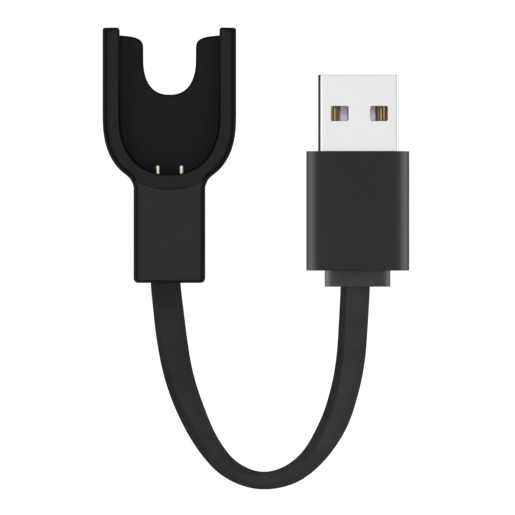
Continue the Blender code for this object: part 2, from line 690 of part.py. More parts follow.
def build_plug_mould():
    """Inner moulding: a block behind the shell, with the collar the cable goes into."""
    mould = add_part("plug_inner_mould", bar_mesh(
        "plug_inner_mould", PLUG_X, PLUG_Z, MOULD_REAR, MOULD_FRONT, SHELL_WIDTH, SHELL_THICKNESS,
        SHELL_CORNER), "collar_plastic")
    collar = add_cutter("collar", bar_mesh(
        "collar", PLUG_X, PLUG_Z, PLUG_REAR, MOULD_REAR + THROUGH, COLLAR_WIDTH, COLLAR_THICKNESS,
        COLLAR_CORNER, 6))
    apply_boolean(mould, [collar], "UNION")
    channel = add_cutter("plug_channel", bar_mesh(
        "plug_channel", CABLE_X_AT_PLUG, PLUG_Z, PLUG_REAR - THROUGH, MOULD_FRONT + THROUGH,
        CABLE_HOLE_WIDTH, CABLE_HOLE_HEIGHT, CABLE_HOLE_HEIGHT * 0.3))
    apply_boolean(mould, [channel])
    smooth_by_angle(mould.data)


def build_usb_shell():
    """Plated steel shell, open at both ends, with two windows on each wide face."""
    shell = add_part("usb_shell", bar_mesh(
        "usb_shell", PLUG_X, PLUG_Z, SHELL_REAR, SHELL_TIP, SHELL_WIDTH, SHELL_THICKNESS,
        SHELL_CORNER), "shell_steel")
    inside = add_cutter("shell_inside", bar_mesh(
        "shell_inside", PLUG_X, PLUG_Z, SHELL_REAR - THROUGH, SHELL_TIP + THROUGH,
        SHELL_WIDTH - 2 * SHELL_WALL, SHELL_THICKNESS - 2 * SHELL_WALL,
        SHELL_CORNER - SHELL_WALL, 3))
    windows = []
    window_y = SHELL_TIP - WINDOW_FROM_TIP
    for side, name in ((-1, "left"), (1, "right")):
        x = PLUG_X + side * WINDOW_X
        windows.append(add_cutter(f"window_{name}", box_mesh(
            f"window_{name}", (x - WINDOW_WIDTH / 2, window_y - WINDOW_LENGTH / 2, 0.0),
            (x + WINDOW_WIDTH / 2, window_y + WINDOW_LENGTH / 2, SLEEVE_THICKNESS))))
    apply_boolean(shell, [inside] + windows)
    smooth_by_angle(shell.data)


def build_usb_tongue():
    """Insulator: a flat tongue on the shell's lower side, thick at the rear, with contact grooves."""
    half = TONGUE_WIDTH / 2
    tip = SHELL_TIP - TONGUE_FROM_TIP
    tongue = add_part("usb_tongue", box_mesh(
        "usb_tongue", (PLUG_X - half, TONGUE_REAR, TONGUE_BOTTOM), (PLUG_X + half, tip, TONGUE_TOP)),
        "tongue_white")
    block = add_cutter("tongue_block", box_mesh(
        "tongue_block", (PLUG_X - half, TONGUE_REAR, TONGUE_BOTTOM + GAP),
        (PLUG_X + half, TONGUE_REAR + TONGUE_BLOCK_LENGTH,
         PLUG_Z + SHELL_THICKNESS / 2 - SHELL_WALL - GAP)))
    apply_boolean(tongue, [block], "UNION")
    grooves = []
    for name, x, from_tip in contact_places():
        front = SHELL_TIP - from_tip
        grooves.append(add_cutter(f"groove_{name}", box_mesh(
            f"groove_{name}",
            (x - CONTACT_WIDTH / 2 - FINE_GAP, TONGUE_REAR - THROUGH,
             TONGUE_TOP + CONTACT_PROUD - CONTACT_THICKNESS - FINE_GAP),
            (x + CONTACT_WIDTH / 2 + FINE_GAP, front + FINE_GAP,
             TONGUE_TOP + CONTACT_PROUD + FINE_GAP))))
    apply_boolean(tongue, grooves)


def contact_places():
    """Return each contact's name, place across the plug and distance from the shell's tip."""
    return (
        ("power", PLUG_X - POWER_CONTACT_X, POWER_CONTACT_FROM_TIP),
        ("data_minus", PLUG_X - DATA_CONTACT_X, DATA_CONTACT_FROM_TIP),
        ("data_plus", PLUG_X + DATA_CONTACT_X, DATA_CONTACT_FROM_TIP),
        ("ground", PLUG_X + POWER_CONTACT_X, POWER_CONTACT_FROM_TIP),
    )


def build_contacts():
    """Four spring contacts in the tongue's grooves, with tails behind it."""
    top = TONGUE_TOP + CONTACT_PROUD
    for name, x, from_tip in contact_places():
        contact = box_mesh(
            f"usb_contact_{name}", (x - CONTACT_WIDTH / 2, TONGUE_REAR - CONTACT_TAIL,
                                    top - CONTACT_THICKNESS),
            (x + CONTACT_WIDTH / 2, SHELL_TIP - from_tip, top))
        add_part(f"usb_contact_{name}", contact, "contact_gold")


def build_plug_wires():
    """Two leads from the cable's end to the power and ground contacts' tails."""
    tail_y = TONGUE_REAR - CONTACT_TAIL
    contact_z = TONGUE_TOP + CONTACT_PROUD - CONTACT_THICKNESS / 2
    start_y = PLUG_REAR + COLLAR_LENGTH
    turn_y = MOULD_FRONT + WIRE_RADIUS
    for side, name in ((-1, "positive"), (1, "negative")):
        core_x = CABLE_X_AT_PLUG + side * WIRE_SPREAD
        end_x = PLUG_X + side * POWER_CONTACT_X
        route = [Vector((core_x, start_y, PLUG_Z)),
                 Vector((core_x, MOULD_FRONT - 2 * WIRE_RADIUS, PLUG_Z)),
                 Vector(((core_x + end_x) / 2, (turn_y + tail_y) / 2 - GAP, PLUG_Z)),
                 Vector((end_x, tail_y - GAP - FINE_GAP, contact_z))]
        finish = "wire_red" if side < 0 else "wire_black"
        tube(f"plug_wire_{name}", soften(route), WIRE_RADIUS, finish)


def main():
    """Build every piece."""
    build_cradle_frame()
    build_cradle_base()
    build_spring_pins()
    build_neck_inside()
    build_cable()
    build_plug_sleeve()
    build_plug_mould()
    build_usb_shell()
    build_usb_tongue()
    build_contacts()
    build_plug_wires()


main()
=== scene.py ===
"""A tracker's USB charging lead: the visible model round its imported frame.

The lead lies on a pale floor: a U-shaped cradle with two gold spring pins, a short flat cable with
half a twist in it, and a USB-A plug. Sizes inside the classes are millimetres in the frame's own
axes, with +Y towards the cradle's open end and +Z up. Skin.build turns them into metres.
"""

import logging
from collections.abc import Callable
from dataclasses import dataclass, field, replace
from enum import Enum
from typing import ClassVar

import bmesh
import bpy
import numpy as np
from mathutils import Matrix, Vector


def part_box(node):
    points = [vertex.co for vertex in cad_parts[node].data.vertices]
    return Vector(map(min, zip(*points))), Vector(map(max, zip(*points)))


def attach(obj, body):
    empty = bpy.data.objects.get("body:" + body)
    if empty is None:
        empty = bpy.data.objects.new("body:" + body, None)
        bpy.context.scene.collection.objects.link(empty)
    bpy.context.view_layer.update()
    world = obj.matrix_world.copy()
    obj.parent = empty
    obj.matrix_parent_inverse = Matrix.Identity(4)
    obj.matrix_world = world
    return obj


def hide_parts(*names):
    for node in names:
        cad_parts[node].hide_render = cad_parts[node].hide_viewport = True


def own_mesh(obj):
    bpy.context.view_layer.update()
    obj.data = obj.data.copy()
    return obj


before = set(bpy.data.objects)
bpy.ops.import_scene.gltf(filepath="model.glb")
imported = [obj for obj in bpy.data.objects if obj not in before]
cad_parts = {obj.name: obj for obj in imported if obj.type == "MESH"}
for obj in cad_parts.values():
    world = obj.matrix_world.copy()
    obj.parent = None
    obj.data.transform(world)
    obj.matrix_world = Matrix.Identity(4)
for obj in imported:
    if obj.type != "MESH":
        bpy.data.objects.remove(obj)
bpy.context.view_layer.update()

MM = 0.001
LEAD = "lead"
LOG = logging.getLogger("charging_lead")
Array = np.ndarray

# The cable's centreline in metres, from the neck to the plug
CABLE_ROUTE = (
    (-0.00058, -0.01930, 0.00500), (-0.00020, -0.02270, 0.00490), (0.00042, -0.02760, 0.00450),
    (0.00135, -0.03240, 0.00385), (0.00295, -0.03720, 0.00310), (0.00560, -0.04260, 0.00260),
    (0.00890, -0.04650, 0.00242), (0.01320, -0.04830, 0.00235), (0.01760, -0.04760, 0.00242),
    (0.02130, -0.04480, 0.00255), (0.02440, -0.03990, 0.00275), (0.02610, -0.03480, 0.00305),
    (0.02700, -0.03000, 0.00340), (0.02740, -0.02470, 0.00375), (0.02767, -0.01987, 0.00390),
)
# How far the cable's first upper face has turned at each of those points, in degrees
CABLE_TURN = (8, 12, 26, 37, 46, 61, 71, 87, 108, 117, 133, 137, 141, 143, 144)


# ---------------------------------------------------------------------------
# Finishes
# ---------------------------------------------------------------------------

def add_node(tree: bpy.types.NodeTree, kind: str,
             links: dict[str | int, bpy.types.NodeSocket | None] | None = None,
             values: dict[str | int, float | tuple[float, ...]] | None = None) -> bpy.types.Node:
    """Adds a shader node, joins sockets to its inputs and sets its other inputs.

    Args:
        tree: the node tree.
        kind: the node's type, without its ShaderNode beginning; a Mix mixes colours.
        links: the socket that feeds each input.
        values: the value of each other input.

    Returns:
        The node.
    """
    node = tree.nodes.new(f"ShaderNode{kind}")
    if kind == "Mix":
        node.data_type = "RGBA"
    for name, socket in (links or {}).items():
        tree.links.new(socket, node.inputs[name])
    for name, value in (values or {}).items():
        node.inputs[name].default_value = value
    return node


class Grain(Enum):
    """How a surface's fine texture runs."""

    SPARKED = "even pits of a spark-eroded mould"
    BRUSHED = "fine lines drawn along the piece"
    CORD = "matte skin that follows a cord's own map"
    SMOOTH = "polished, with only a trace of unevenness"


@dataclass(frozen=True)
class Finish:
    """One material: its colour, its gloss and the fine texture of its surface.

    Attributes:
        slot: name of the record's material slot.
        colour: base colour, linear.
        roughness: middle roughness.
        metallic: 1 for bare metal.
        specular: specular level, 0.5 for an ordinary plastic.
        mottle: share by which the colour varies slowly over the surface.
        gloss_spread: how far the roughness varies either way.
        grain: direction of the fine texture.
        grain_size: size of one pit or line, in millimetres.
        grain_depth: depth of the fine texture, in millimetres.
        variant: ending of the material's name, where a slot has more than one.
        painted_shade_from: for a cord, share of the colour left at its first end, the neck end,
            where shade is painted in.
        painted_reflection: a second, brighter bluish colour painted in as a reflection, and the y
            in millimetres where it starts to come in and is full.
        noise_span: the noise's values that give the lowest and highest shade and gloss.
        mottle_size: size of a patch of the slow mottling, in millimetres.
        relief_strength: strength of the fine texture's relief.
        painted_shade_length: how far the painted shade, the darker stretch of a cord, reaches, in
            millimetres.
    """

    slot: str
    colour: tuple[float, float, float]
    roughness: float = 0.45
    metallic: float = 0.0
    specular: float = 0.5
    mottle: float = 0.12
    gloss_spread: float = 0.05
    grain: Grain = Grain.SPARKED
    grain_size: float = 0.14
    grain_depth: float = 0.004
    variant: str = ""
    painted_shade_from: float = 1.0
    painted_reflection: tuple[tuple[float, float, float], float, float] | None = None
    noise_span: ClassVar[tuple[float, float]] = (0.3, 0.7)
    mottle_size: ClassVar[float] = 4.0
    relief_strength: ClassVar[float] = 0.6
    painted_shade_length: ClassVar[float] = 25.0

    def material(self) -> bpy.types.Material:
        """Returns this finish's material, made on first use."""
        return bpy.data.materials.get(f"{self.slot}_finish{self.variant}") or self._make()

    def _make(self) -> bpy.types.Material:
        """Builds the node tree: slow mottling, uneven gloss and fine relief.

        Returns:
            The new material.
        """
        material = bpy.data.materials.new(f"{self.slot}_finish{self.variant}")
        material.use_nodes = True
        tree = material.node_tree
        shader = tree.nodes["Principled BSDF"]
        shader.inputs["Metallic"].default_value = self.metallic
        shader.inputs["Specular IOR Level"].default_value = self.specular
        place = add_node(tree, "TexCoord")
        run = {Grain.BRUSHED: (1.0, 0.03, 1.0), Grain.CORD: (0.4, 1.0, 1.0)}
        source = place.outputs["UV" if self.grain is Grain.CORD else "Object"]
        stretch = add_node(tree, "Mapping", {"Vector": source},
                           {"Scale": run.get(self.grain, (1.0, 1.0, 1.0))})
        slow = self._noise(tree, place.outputs["Object"], self.mottle_size, 3.0)
        fine = self._noise(tree, stretch.outputs["Vector"], self.grain_size, 4.0)

        low, high = self.noise_span
        tint = add_node(tree, "ValToRGB", {"Fac": slow})
        shares = ((low, 1.0 - self.mottle), (high, 1.0 + self.mottle))
        for element, (position, share) in zip(tint.color_ramp.elements, shares):
            element.position = position
            element.color = (*(c * share for c in self.colour), 1.0)
        # Painted shade on the cable near the neck, and a painted reflection on the tongue, go into
        # the colour here.
        colour = self._mix_painted_reflection(tree, place, self._painted_shade(tree, place, tint.outputs["Color"]))
        tree.links.new(colour, shader.inputs["Base Color"])

        gloss = add_node(tree, "MapRange", {"Value": fine}, {
            "From Min": low, "From Max": high, "To Min": self.roughness - self.gloss_spread,
            "To Max": self.roughness + self.gloss_spread})
        tree.links.new(gloss.outputs["Result"], shader.inputs["Roughness"])
        relief = add_node(tree, "Bump", {"Height": fine}, {
            "Strength": self.relief_strength, "Distance": self.grain_depth * MM})
        tree.links.new(relief.outputs["Normal"], shader.inputs["Normal"])
        return material

    def _painted_shade(self, tree: bpy.types.NodeTree, place: bpy.types.Node,
              colour: bpy.types.NodeSocket) -> bpy.types.NodeSocket:
        """Paints shade on a cord: darkens its colour over the start of its own map, next to the
        neck; others keep theirs.

        Args:
            tree: the material's node tree.
            place: the coordinates' node.
            colour: socket of the colour so far.

        Returns:
            The socket of the colour to use.
        """
        if self.painted_shade_from == 1.0:
            return colour
        along = add_node(tree, "SeparateXYZ", {"Vector": place.outputs["UV"]})
        share = add_node(tree, "MapRange", {"Value": along.outputs["X"]},
                         {"From Max": self.painted_shade_length * MM, "To Min": self.painted_shade_from})
        share.interpolation_type = "SMOOTHSTEP"
        scaled = add_node(tree, "VectorMath")
        scaled.operation = "SCALE"
        tree.links.new(colour, scaled.inputs["Vector"])
        tree.links.new(share.outputs["Result"], scaled.inputs["Scale"])
        return scaled.outputs["Vector"]

    def _mix_painted_reflection(self, tree: bpy.types.NodeTree, place: bpy.types.Node,
               colour: bpy.types.NodeSocket) -> bpy.types.NodeSocket:
        """Mixes in the second colour along Y, a painted reflection, where the finish has one.

        Args:
            tree: the material's node tree.
            place: the coordinates' node.
            colour: socket of the colour so far.

        Returns:
            The socket of the colour to use.
        """
        if self.painted_reflection is None:
            return colour
        second, start, end = self.painted_reflection
        along = add_node(tree, "SeparateXYZ", {"Vector": place.outputs["Object"]})
        share = add_node(tree, "MapRange", {"Value": along.outputs["Y"]},
                         {"From Min": start * MM, "From Max": end * MM})
        share.interpolation_type = "SMOOTHSTEP"
        mixed = add_node(tree, "Mix", {"Factor": share.outputs["Result"], 6: colour},
                         {7: (*second, 1.0)})
        return mixed.outputs[2]

    @staticmethod
    def _noise(tree: bpy.types.NodeTree, place: bpy.types.NodeSocket, size: float,
               detail: float) -> bpy.types.NodeSocket:
        """Adds a noise texture whose features are about size millimetres across.

        Args:
            tree: the material's node tree.
            place: socket that gives the coordinates, in metres.
            size: size of a feature, in millimetres.
            detail: number of finer octaves.

        Returns:
            The texture's value socket.
        """
        noise = add_node(tree, "TexNoise", {"Vector": place},
                         {"Scale": 1.0 / (size * MM), "Detail": detail})
        return noise.outputs["Fac"]


RIM_BLACK = Finish("rim_plastic", (0.0070, 0.0070, 0.0073), roughness=0.34, specular=0.235)
# The neck uses a lighter, glossier copy of the rim's plastic, so that its top face looks brighter
# than the rim: painted light.
NECK_PAINTED_LIT_BLACK = replace(RIM_BLACK, colour=(0.0120, 0.0120, 0.0123), specular=0.31,
                     variant="_neck")
BASE_BLACK = Finish("base_plastic", (0.0070, 0.0054, 0.0062), roughness=0.42, specular=0.155)
INSERT_BLACK = Finish("insert_plastic", (0.018, 0.018, 0.019), roughness=0.6, specular=0.3)
PIN_GOLD = Finish("pin_gold", (0.78, 0.63, 0.49), roughness=0.38, metallic=1.0, mottle=0.03,
                  grain=Grain.SMOOTH, grain_size=0.3, grain_depth=0.0006)
BARREL_BRASS = Finish("barrel_brass", (0.72, 0.52, 0.24), roughness=0.35, metallic=1.0,
                      mottle=0.08, grain=Grain.BRUSHED, grain_size=0.06, grain_depth=0.001)
SPRING_STEEL = Finish("spring_steel", (0.62, 0.62, 0.63), roughness=0.3, metallic=1.0,
                      mottle=0.05, grain=Grain.SMOOTH, grain_size=0.1, grain_depth=0.0006)
BOARD_GREEN = Finish("board_green", (0.015, 0.09, 0.035), roughness=0.45, mottle=0.25,
                     grain_size=0.25, grain_depth=0.006)
WIRE_RED = Finish("wire_red", (0.42, 0.02, 0.015), roughness=0.45, grain=Grain.SMOOTH,
                  grain_size=0.4, grain_depth=0.003)
WIRE_BLACK = Finish("wire_black", (0.012, 0.012, 0.012), roughness=0.45, grain=Grain.SMOOTH,
                    grain_size=0.4, grain_depth=0.003)
# The cable's colour is darkened over its first 25 mm from the neck: painted shade.
CABLE_RUBBER = Finish("cable_rubber", (0.0285, 0.0285, 0.0292), roughness=0.6, specular=0.08,
                      grain=Grain.CORD, grain_size=0.16, grain_depth=0.005, painted_shade_from=0.7)
SLEEVE_BLACK = Finish("sleeve_plastic", (0.0155, 0.0155, 0.0155), roughness=0.4, specular=0.25)
COLLAR_BLACK = Finish("collar_plastic", (0.043, 0.043, 0.043), roughness=0.5, specular=0.32)
SHELL_STEEL = Finish("shell_steel", (0.795, 0.795, 0.795), roughness=0.2, metallic=1.0,
                     mottle=0.015, gloss_spread=0.03, grain=Grain.BRUSHED, grain_size=0.08,
                     grain_depth=0.0006)
# The tongue turns from greyish mauve to a brighter bluish white as y falls from 7.0 to 5.3 mm: a
# painted reflection.
TONGUE_WHITE = Finish("tongue_white", (0.33, 0.27, 0.285), roughness=0.45, mottle=0.04,
                      grain_size=0.2, grain_depth=0.003, painted_reflection=((0.60, 0.68, 0.95), 7.0, 5.3))
CONTACT_GOLD = Finish("contact_gold", (0.62, 0.42, 0.21), roughness=0.25, metallic=1.0,
                      mottle=0.08, grain=Grain.BRUSHED, grain_size=0.06, grain_depth=0.001)


# ---------------------------------------------------------------------------
# Surfaces
# ---------------------------------------------------------------------------

@dataclass(frozen=True)
class Box:
    """A CAD node's box at rest, in millimetres.

    Attributes:
        low: lowest corner.
        high: highest corner.
    """

    low: Array
    high: Array

    @classmethod
    def of(cls, node: str) -> "Box":
        """Returns the box of a CAD node."""
        low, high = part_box(node)
        return cls(np.array(low) / MM, np.array(high) / MM)

    @property
    def middle(self) -> Array:
        """The box's centre."""
        return (self.low + self.high) / 2

    @property
    def size(self) -> Array:
        """The box's three sides."""
        return self.high - self.low


class Skin:
    """Gathers grids of points and flat caps into one closed mesh."""

    def __init__(self) -> None:
        """Starts with no points and no faces."""
        self.points: list[Array] = []
        self.faces: list[list[int]] = []
        self.count = 0
        self.map: Array | None = None

    def add(self, points: Array) -> Array:
        """Adds points of any grid shape and returns their numbers in the same shape.

        Args:
            points: array whose last axis is x, y, z in millimetres.

        Returns:
            The points' numbers.
        """
        numbers = self.count + np.arange(points[..., 0].size).reshape(points.shape[:-1])
        self.points.append(points.reshape(-1, 3))
        self.count += numbers.size
        return numbers

    def join(self, numbers: Array, close: bool = False, skip: Array | None = None) -> None:
        """Joins each closed row of numbered points to the next with quads.

        Args:
            numbers: rows by columns of point numbers.
            close: the last row is joined to the first.
            skip: true where a quad is left out, rows by columns.
        """
        beside = np.roll(numbers, -1, axis=1)
        quads = np.stack([numbers, beside, np.roll(beside, -1, axis=0),
                          np.roll(numbers, -1, axis=0)], axis=-1)
        keep = np.ones(numbers.shape, bool) if skip is None else ~skip
        if not close:
            keep[-1] = False
        self.faces += quads[keep].tolist()

    def cap(self, *loops: Array) -> None:
        """Closes each flat loop of numbered points with one face."""
        self.faces += [loop.tolist() for loop in loops]

    def bar(self, points: Array) -> "Skin":
        """Adds rows of closed loops with a flat cap at each end, and returns the skin."""
        numbers = self.add(points)
        self.join(numbers)
        self.cap(numbers[0], numbers[-1])
        return self

    def tube(self, rows: list[tuple[float | Array, Array]]) -> "Skin":
        """Adds loops along Y, the last joined to the first, and returns the skin."""
        self.join(self.add(along_y(rows)), close=True)
        return self

    def build(self, name: str, finish: Finish, nodes: tuple[str, ...] = (), body: str = LEAD,
              sharp: float = 32.0) -> bpy.types.Object:
        """Makes the mesh, dresses it and puts it on its CAD body.

        Args:
            name: name of the piece.
            finish: its finish.
            nodes: CAD nodes that it stands for.
            body: CAD body that it rides on.
            sharp: angle in degrees past which an edge is drawn sharp.

        Returns:
            The finished object.
        """
        mesh = bpy.data.meshes.new(name)
        mesh.from_pydata((np.concatenate(self.points) * MM).tolist(), [], self.faces)
        if self.map is not None:
            corner = np.zeros(len(mesh.loops), dtype=np.int32)
            mesh.loops.foreach_get("vertex_index", corner)
            layer = mesh.uv_layers.new(name="along_and_round")
            layer.data.foreach_set("uv", self.map[corner].astype(np.float32).ravel())
        form = bmesh.new()
        form.from_mesh(mesh)
        bmesh.ops.remove_doubles(form, verts=form.verts[:], dist=1e-8)
        bmesh.ops.recalc_face_normals(form, faces=form.faces[:])
        form.to_mesh(mesh)
        form.free()
        mesh.shade_smooth()
        mesh.set_sharp_from_angle(angle=np.radians(sharp))
        mesh.materials.append(finish.material())
        piece = bpy.data.objects.new(name, mesh)
        bpy.context.scene.collection.objects.link(piece)
        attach(piece, body)
        if nodes:
            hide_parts(*nodes)
        LOG.info("%s: %d faces, on %s", name, len(mesh.polygons), body)
        return piece


def rounded_loop(low: tuple[float, float], high: tuple[float, float],
                 radii: tuple[float, float, float, float], steps: int = 6,
                 flats: int = 1) -> Array:
    """Returns a rectangle with round corners, counter-clockwise from its lower right corner's end.

    Each corner is a quarter circle, centre plus radius times (cos, sin); the sides between them
    are divided evenly.

    Args:
        low: left and bottom.
        high: right and top.
        radii: radii of the top right, top left, bottom left and bottom right corners.
        steps: divisions of each corner.
        flats: divisions of each side.

    Returns:
        An array of points by 2.
    """
    centre_x = np.array([high[0], low[0], low[0], high[0]]) + np.array([-1, 1, 1, -1]) * radii
    centre_y = np.array([high[1], high[1], low[1], low[1]]) + np.array([-1, -1, 1, 1]) * radii
    angle = np.radians(np.arange(4)[:, None] * 90 + np.linspace(0, 90, steps + 1))
    corner = np.stack([centre_x[:, None] + np.array(radii)[:, None] * np.cos(angle),
                       centre_y[:, None] + np.array(radii)[:, None] * np.sin(angle)], axis=-1)
    share = np.linspace(0, 1, flats + 1)[1:-1][None, :, None]
    side = corner[:, -1:] * (1 - share) + np.roll(corner, -1, axis=0)[:, :1] * share
    return np.concatenate([corner, side], axis=1).reshape(-1, 2)


def bar_loop(half_width: float, half_height: float, radius: float,
             middle: tuple[float, float] = (0.0, 0.0), steps: int = 6, flats: int = 1) -> Array:
    """Returns rounded_loop for a rectangle given by its middle and half sizes."""
    x, y = middle
    return rounded_loop((x - half_width, y - half_height), (x + half_width, y + half_height),
                        (radius,) * 4, steps, flats)


def along_y(rows: list[tuple[float | Array, Array]]) -> Array:
    """Stands loops of (x, z) points at their places along Y.

    Args:
        rows: (y, loop) of each row, where y is one value or one for each point.

    Returns:
        An array of rows by points by 3.
    """
    return np.stack([np.stack([loop[:, 0], np.broadcast_to(y, loop[:, 0].shape), loop[:, 1]],
                              axis=-1) for y, loop in rows])


def at_height(loop: Array, height: float | Array) -> Array:
    """Lifts a flat loop of (x, y) points to a height, one value or one for each point."""
    return np.column_stack([loop, np.broadcast_to(height, len(loop))])


def inset(loop: Array, distance: float | Array) -> Array:
    """Moves each side of a counter-clockwise loop inwards and meets the sides again.

    The new point solves offset . normal = distance for the two sides that meet there; where they
    are nearly in line it is the normal times the mean distance.

    Args:
        loop: points by 2.
        distance: one distance, or one for each side, side i starting at point i.

    Returns:
        The inner loop, point for point.
    """
    side = np.roll(loop, -1, axis=0) - loop
    normal = np.stack([-side[:, 1], side[:, 0]], axis=1)
    normal /= np.linalg.norm(normal, axis=1, keepdims=True)
    reach = np.broadcast_to(np.asarray(distance, float), (len(loop),))
    before, reach_before = np.roll(normal, 1, axis=0), np.roll(reach, 1)
    cross = before[:, 0] * normal[:, 1] - before[:, 1] * normal[:, 0]
    bent = np.abs(cross) > 0.02
    safe = np.where(bent, cross, 1.0)
    meet = np.stack([reach_before * normal[:, 1] - reach * before[:, 1],
                     reach * before[:, 0] - reach_before * normal[:, 0]], axis=1) / safe[:, None]
    straight = normal * ((reach + reach_before) / 2)[:, None]
    return loop + np.where(bent[:, None], meet, straight)


def mirrored(half: Array) -> Array:
    """Closes a right-hand half, which starts and ends at x = 0, with its mirror image."""
    return np.concatenate([half, half[-2:0:-1] * (-1, 1)])


@dataclass(frozen=True)
class RoundEnd:
    """The lower half of the superellipse |x/a|^n + |y/b|^n = 1, hung from the height start.

    Attributes:
        half_width: a.
        depth: b.
        start: y of the ellipse's middle.
        power: n, where 2 is an ellipse and more is squarer.
    """

    half_width: float
    depth: float
    start: float
    power: float

    def at(self, angle: Array) -> Array:
        """Returns points by 2 at a parameter, 0 at the side and a right angle at the bottom."""
        power = 2 / self.power
        return np.stack([self.half_width * np.clip(np.cos(angle), 0, 1) ** power,
                         self.start - self.depth * np.clip(np.sin(angle), 0, 1) ** power], axis=-1)

    def angle(self, x: Array | float) -> Array:
        """Returns the parameter where the curve passes x."""
        return np.arccos(np.clip(x / self.half_width, 0, 1) ** (self.power / 2))

    def y(self, x: Array | float) -> Array:
        """Returns the curve's y at x."""
        share = 1 - (np.abs(x) / self.half_width) ** self.power
        return self.start - self.depth * np.clip(share, 0, 1) ** (1 / self.power)

    def inside(self, gap: float) -> "RoundEnd":
        """Returns the curve drawn in by a gap."""
        return replace(self, half_width=self.half_width - gap, depth=self.depth - gap)


def pushed(line: Array, distance: Array | float, left: bool = True) -> Array:
    """Moves the points of an open line square to it, by one distance or one for each.

    A point at x = 0 only moves along y, so that mirrored halves still meet.

    Args:
        line: points by 2.
        distance: how far each point moves.
        left: move to the left of the line's own direction.

    Returns:
        The moved line.
    """
    ahead = np.gradient(line, axis=0)
    normal = np.stack([-ahead[:, 1], ahead[:, 0]], axis=1) * (1 if left else -1)
    normal[np.abs(line[:, 0]) < 1e-9, 0] = 0.0
    normal /= np.linalg.norm(normal, axis=1, keepdims=True)
    return line + normal * np.broadcast_to(distance, len(line))[:, None]


def border(block: Array) -> Array:
    """Returns the outer ring of a block of numbers, counter-clockwise from its first corner."""
    return np.concatenate([block[0, :-1], block[:-1, -1], block[-1, :0:-1], block[:0:-1, 0]])


def square_ring(stops: Array) -> Array:
    """Returns the ring of a unit square whose four sides are divided at the same stops."""
    across, up = np.meshgrid(stops, stops)
    return np.stack([border(across), border(up)], axis=1)


def softened(ring: Array, corner: float) -> Array:
    """Rounds a unit square's ring, with a corner radius as a share of its half side.

    Each point is held back to the inner square, then pushed out by the radius along its own
    direction, so a share of 1 gives a circle.

    Args:
        ring: square_ring's points.
        corner: corner radius.

    Returns:
        The rounded ring, point for point.
    """
    core = np.clip(ring, corner - 1, 1 - corner)
    out = ring - core
    return core + corner * out / np.linalg.norm(out, axis=1, keepdims=True)


def quarter(steps: int) -> tuple[Array, Array]:
    """Returns (1 - cos, 1 - sin) over a right angle, for the rows of a rounded edge."""
    angle = np.radians(np.linspace(0, 90, steps + 1))
    return 1 - np.cos(angle), 1 - np.sin(angle)


# ---------------------------------------------------------------------------
# Cradle
# ---------------------------------------------------------------------------

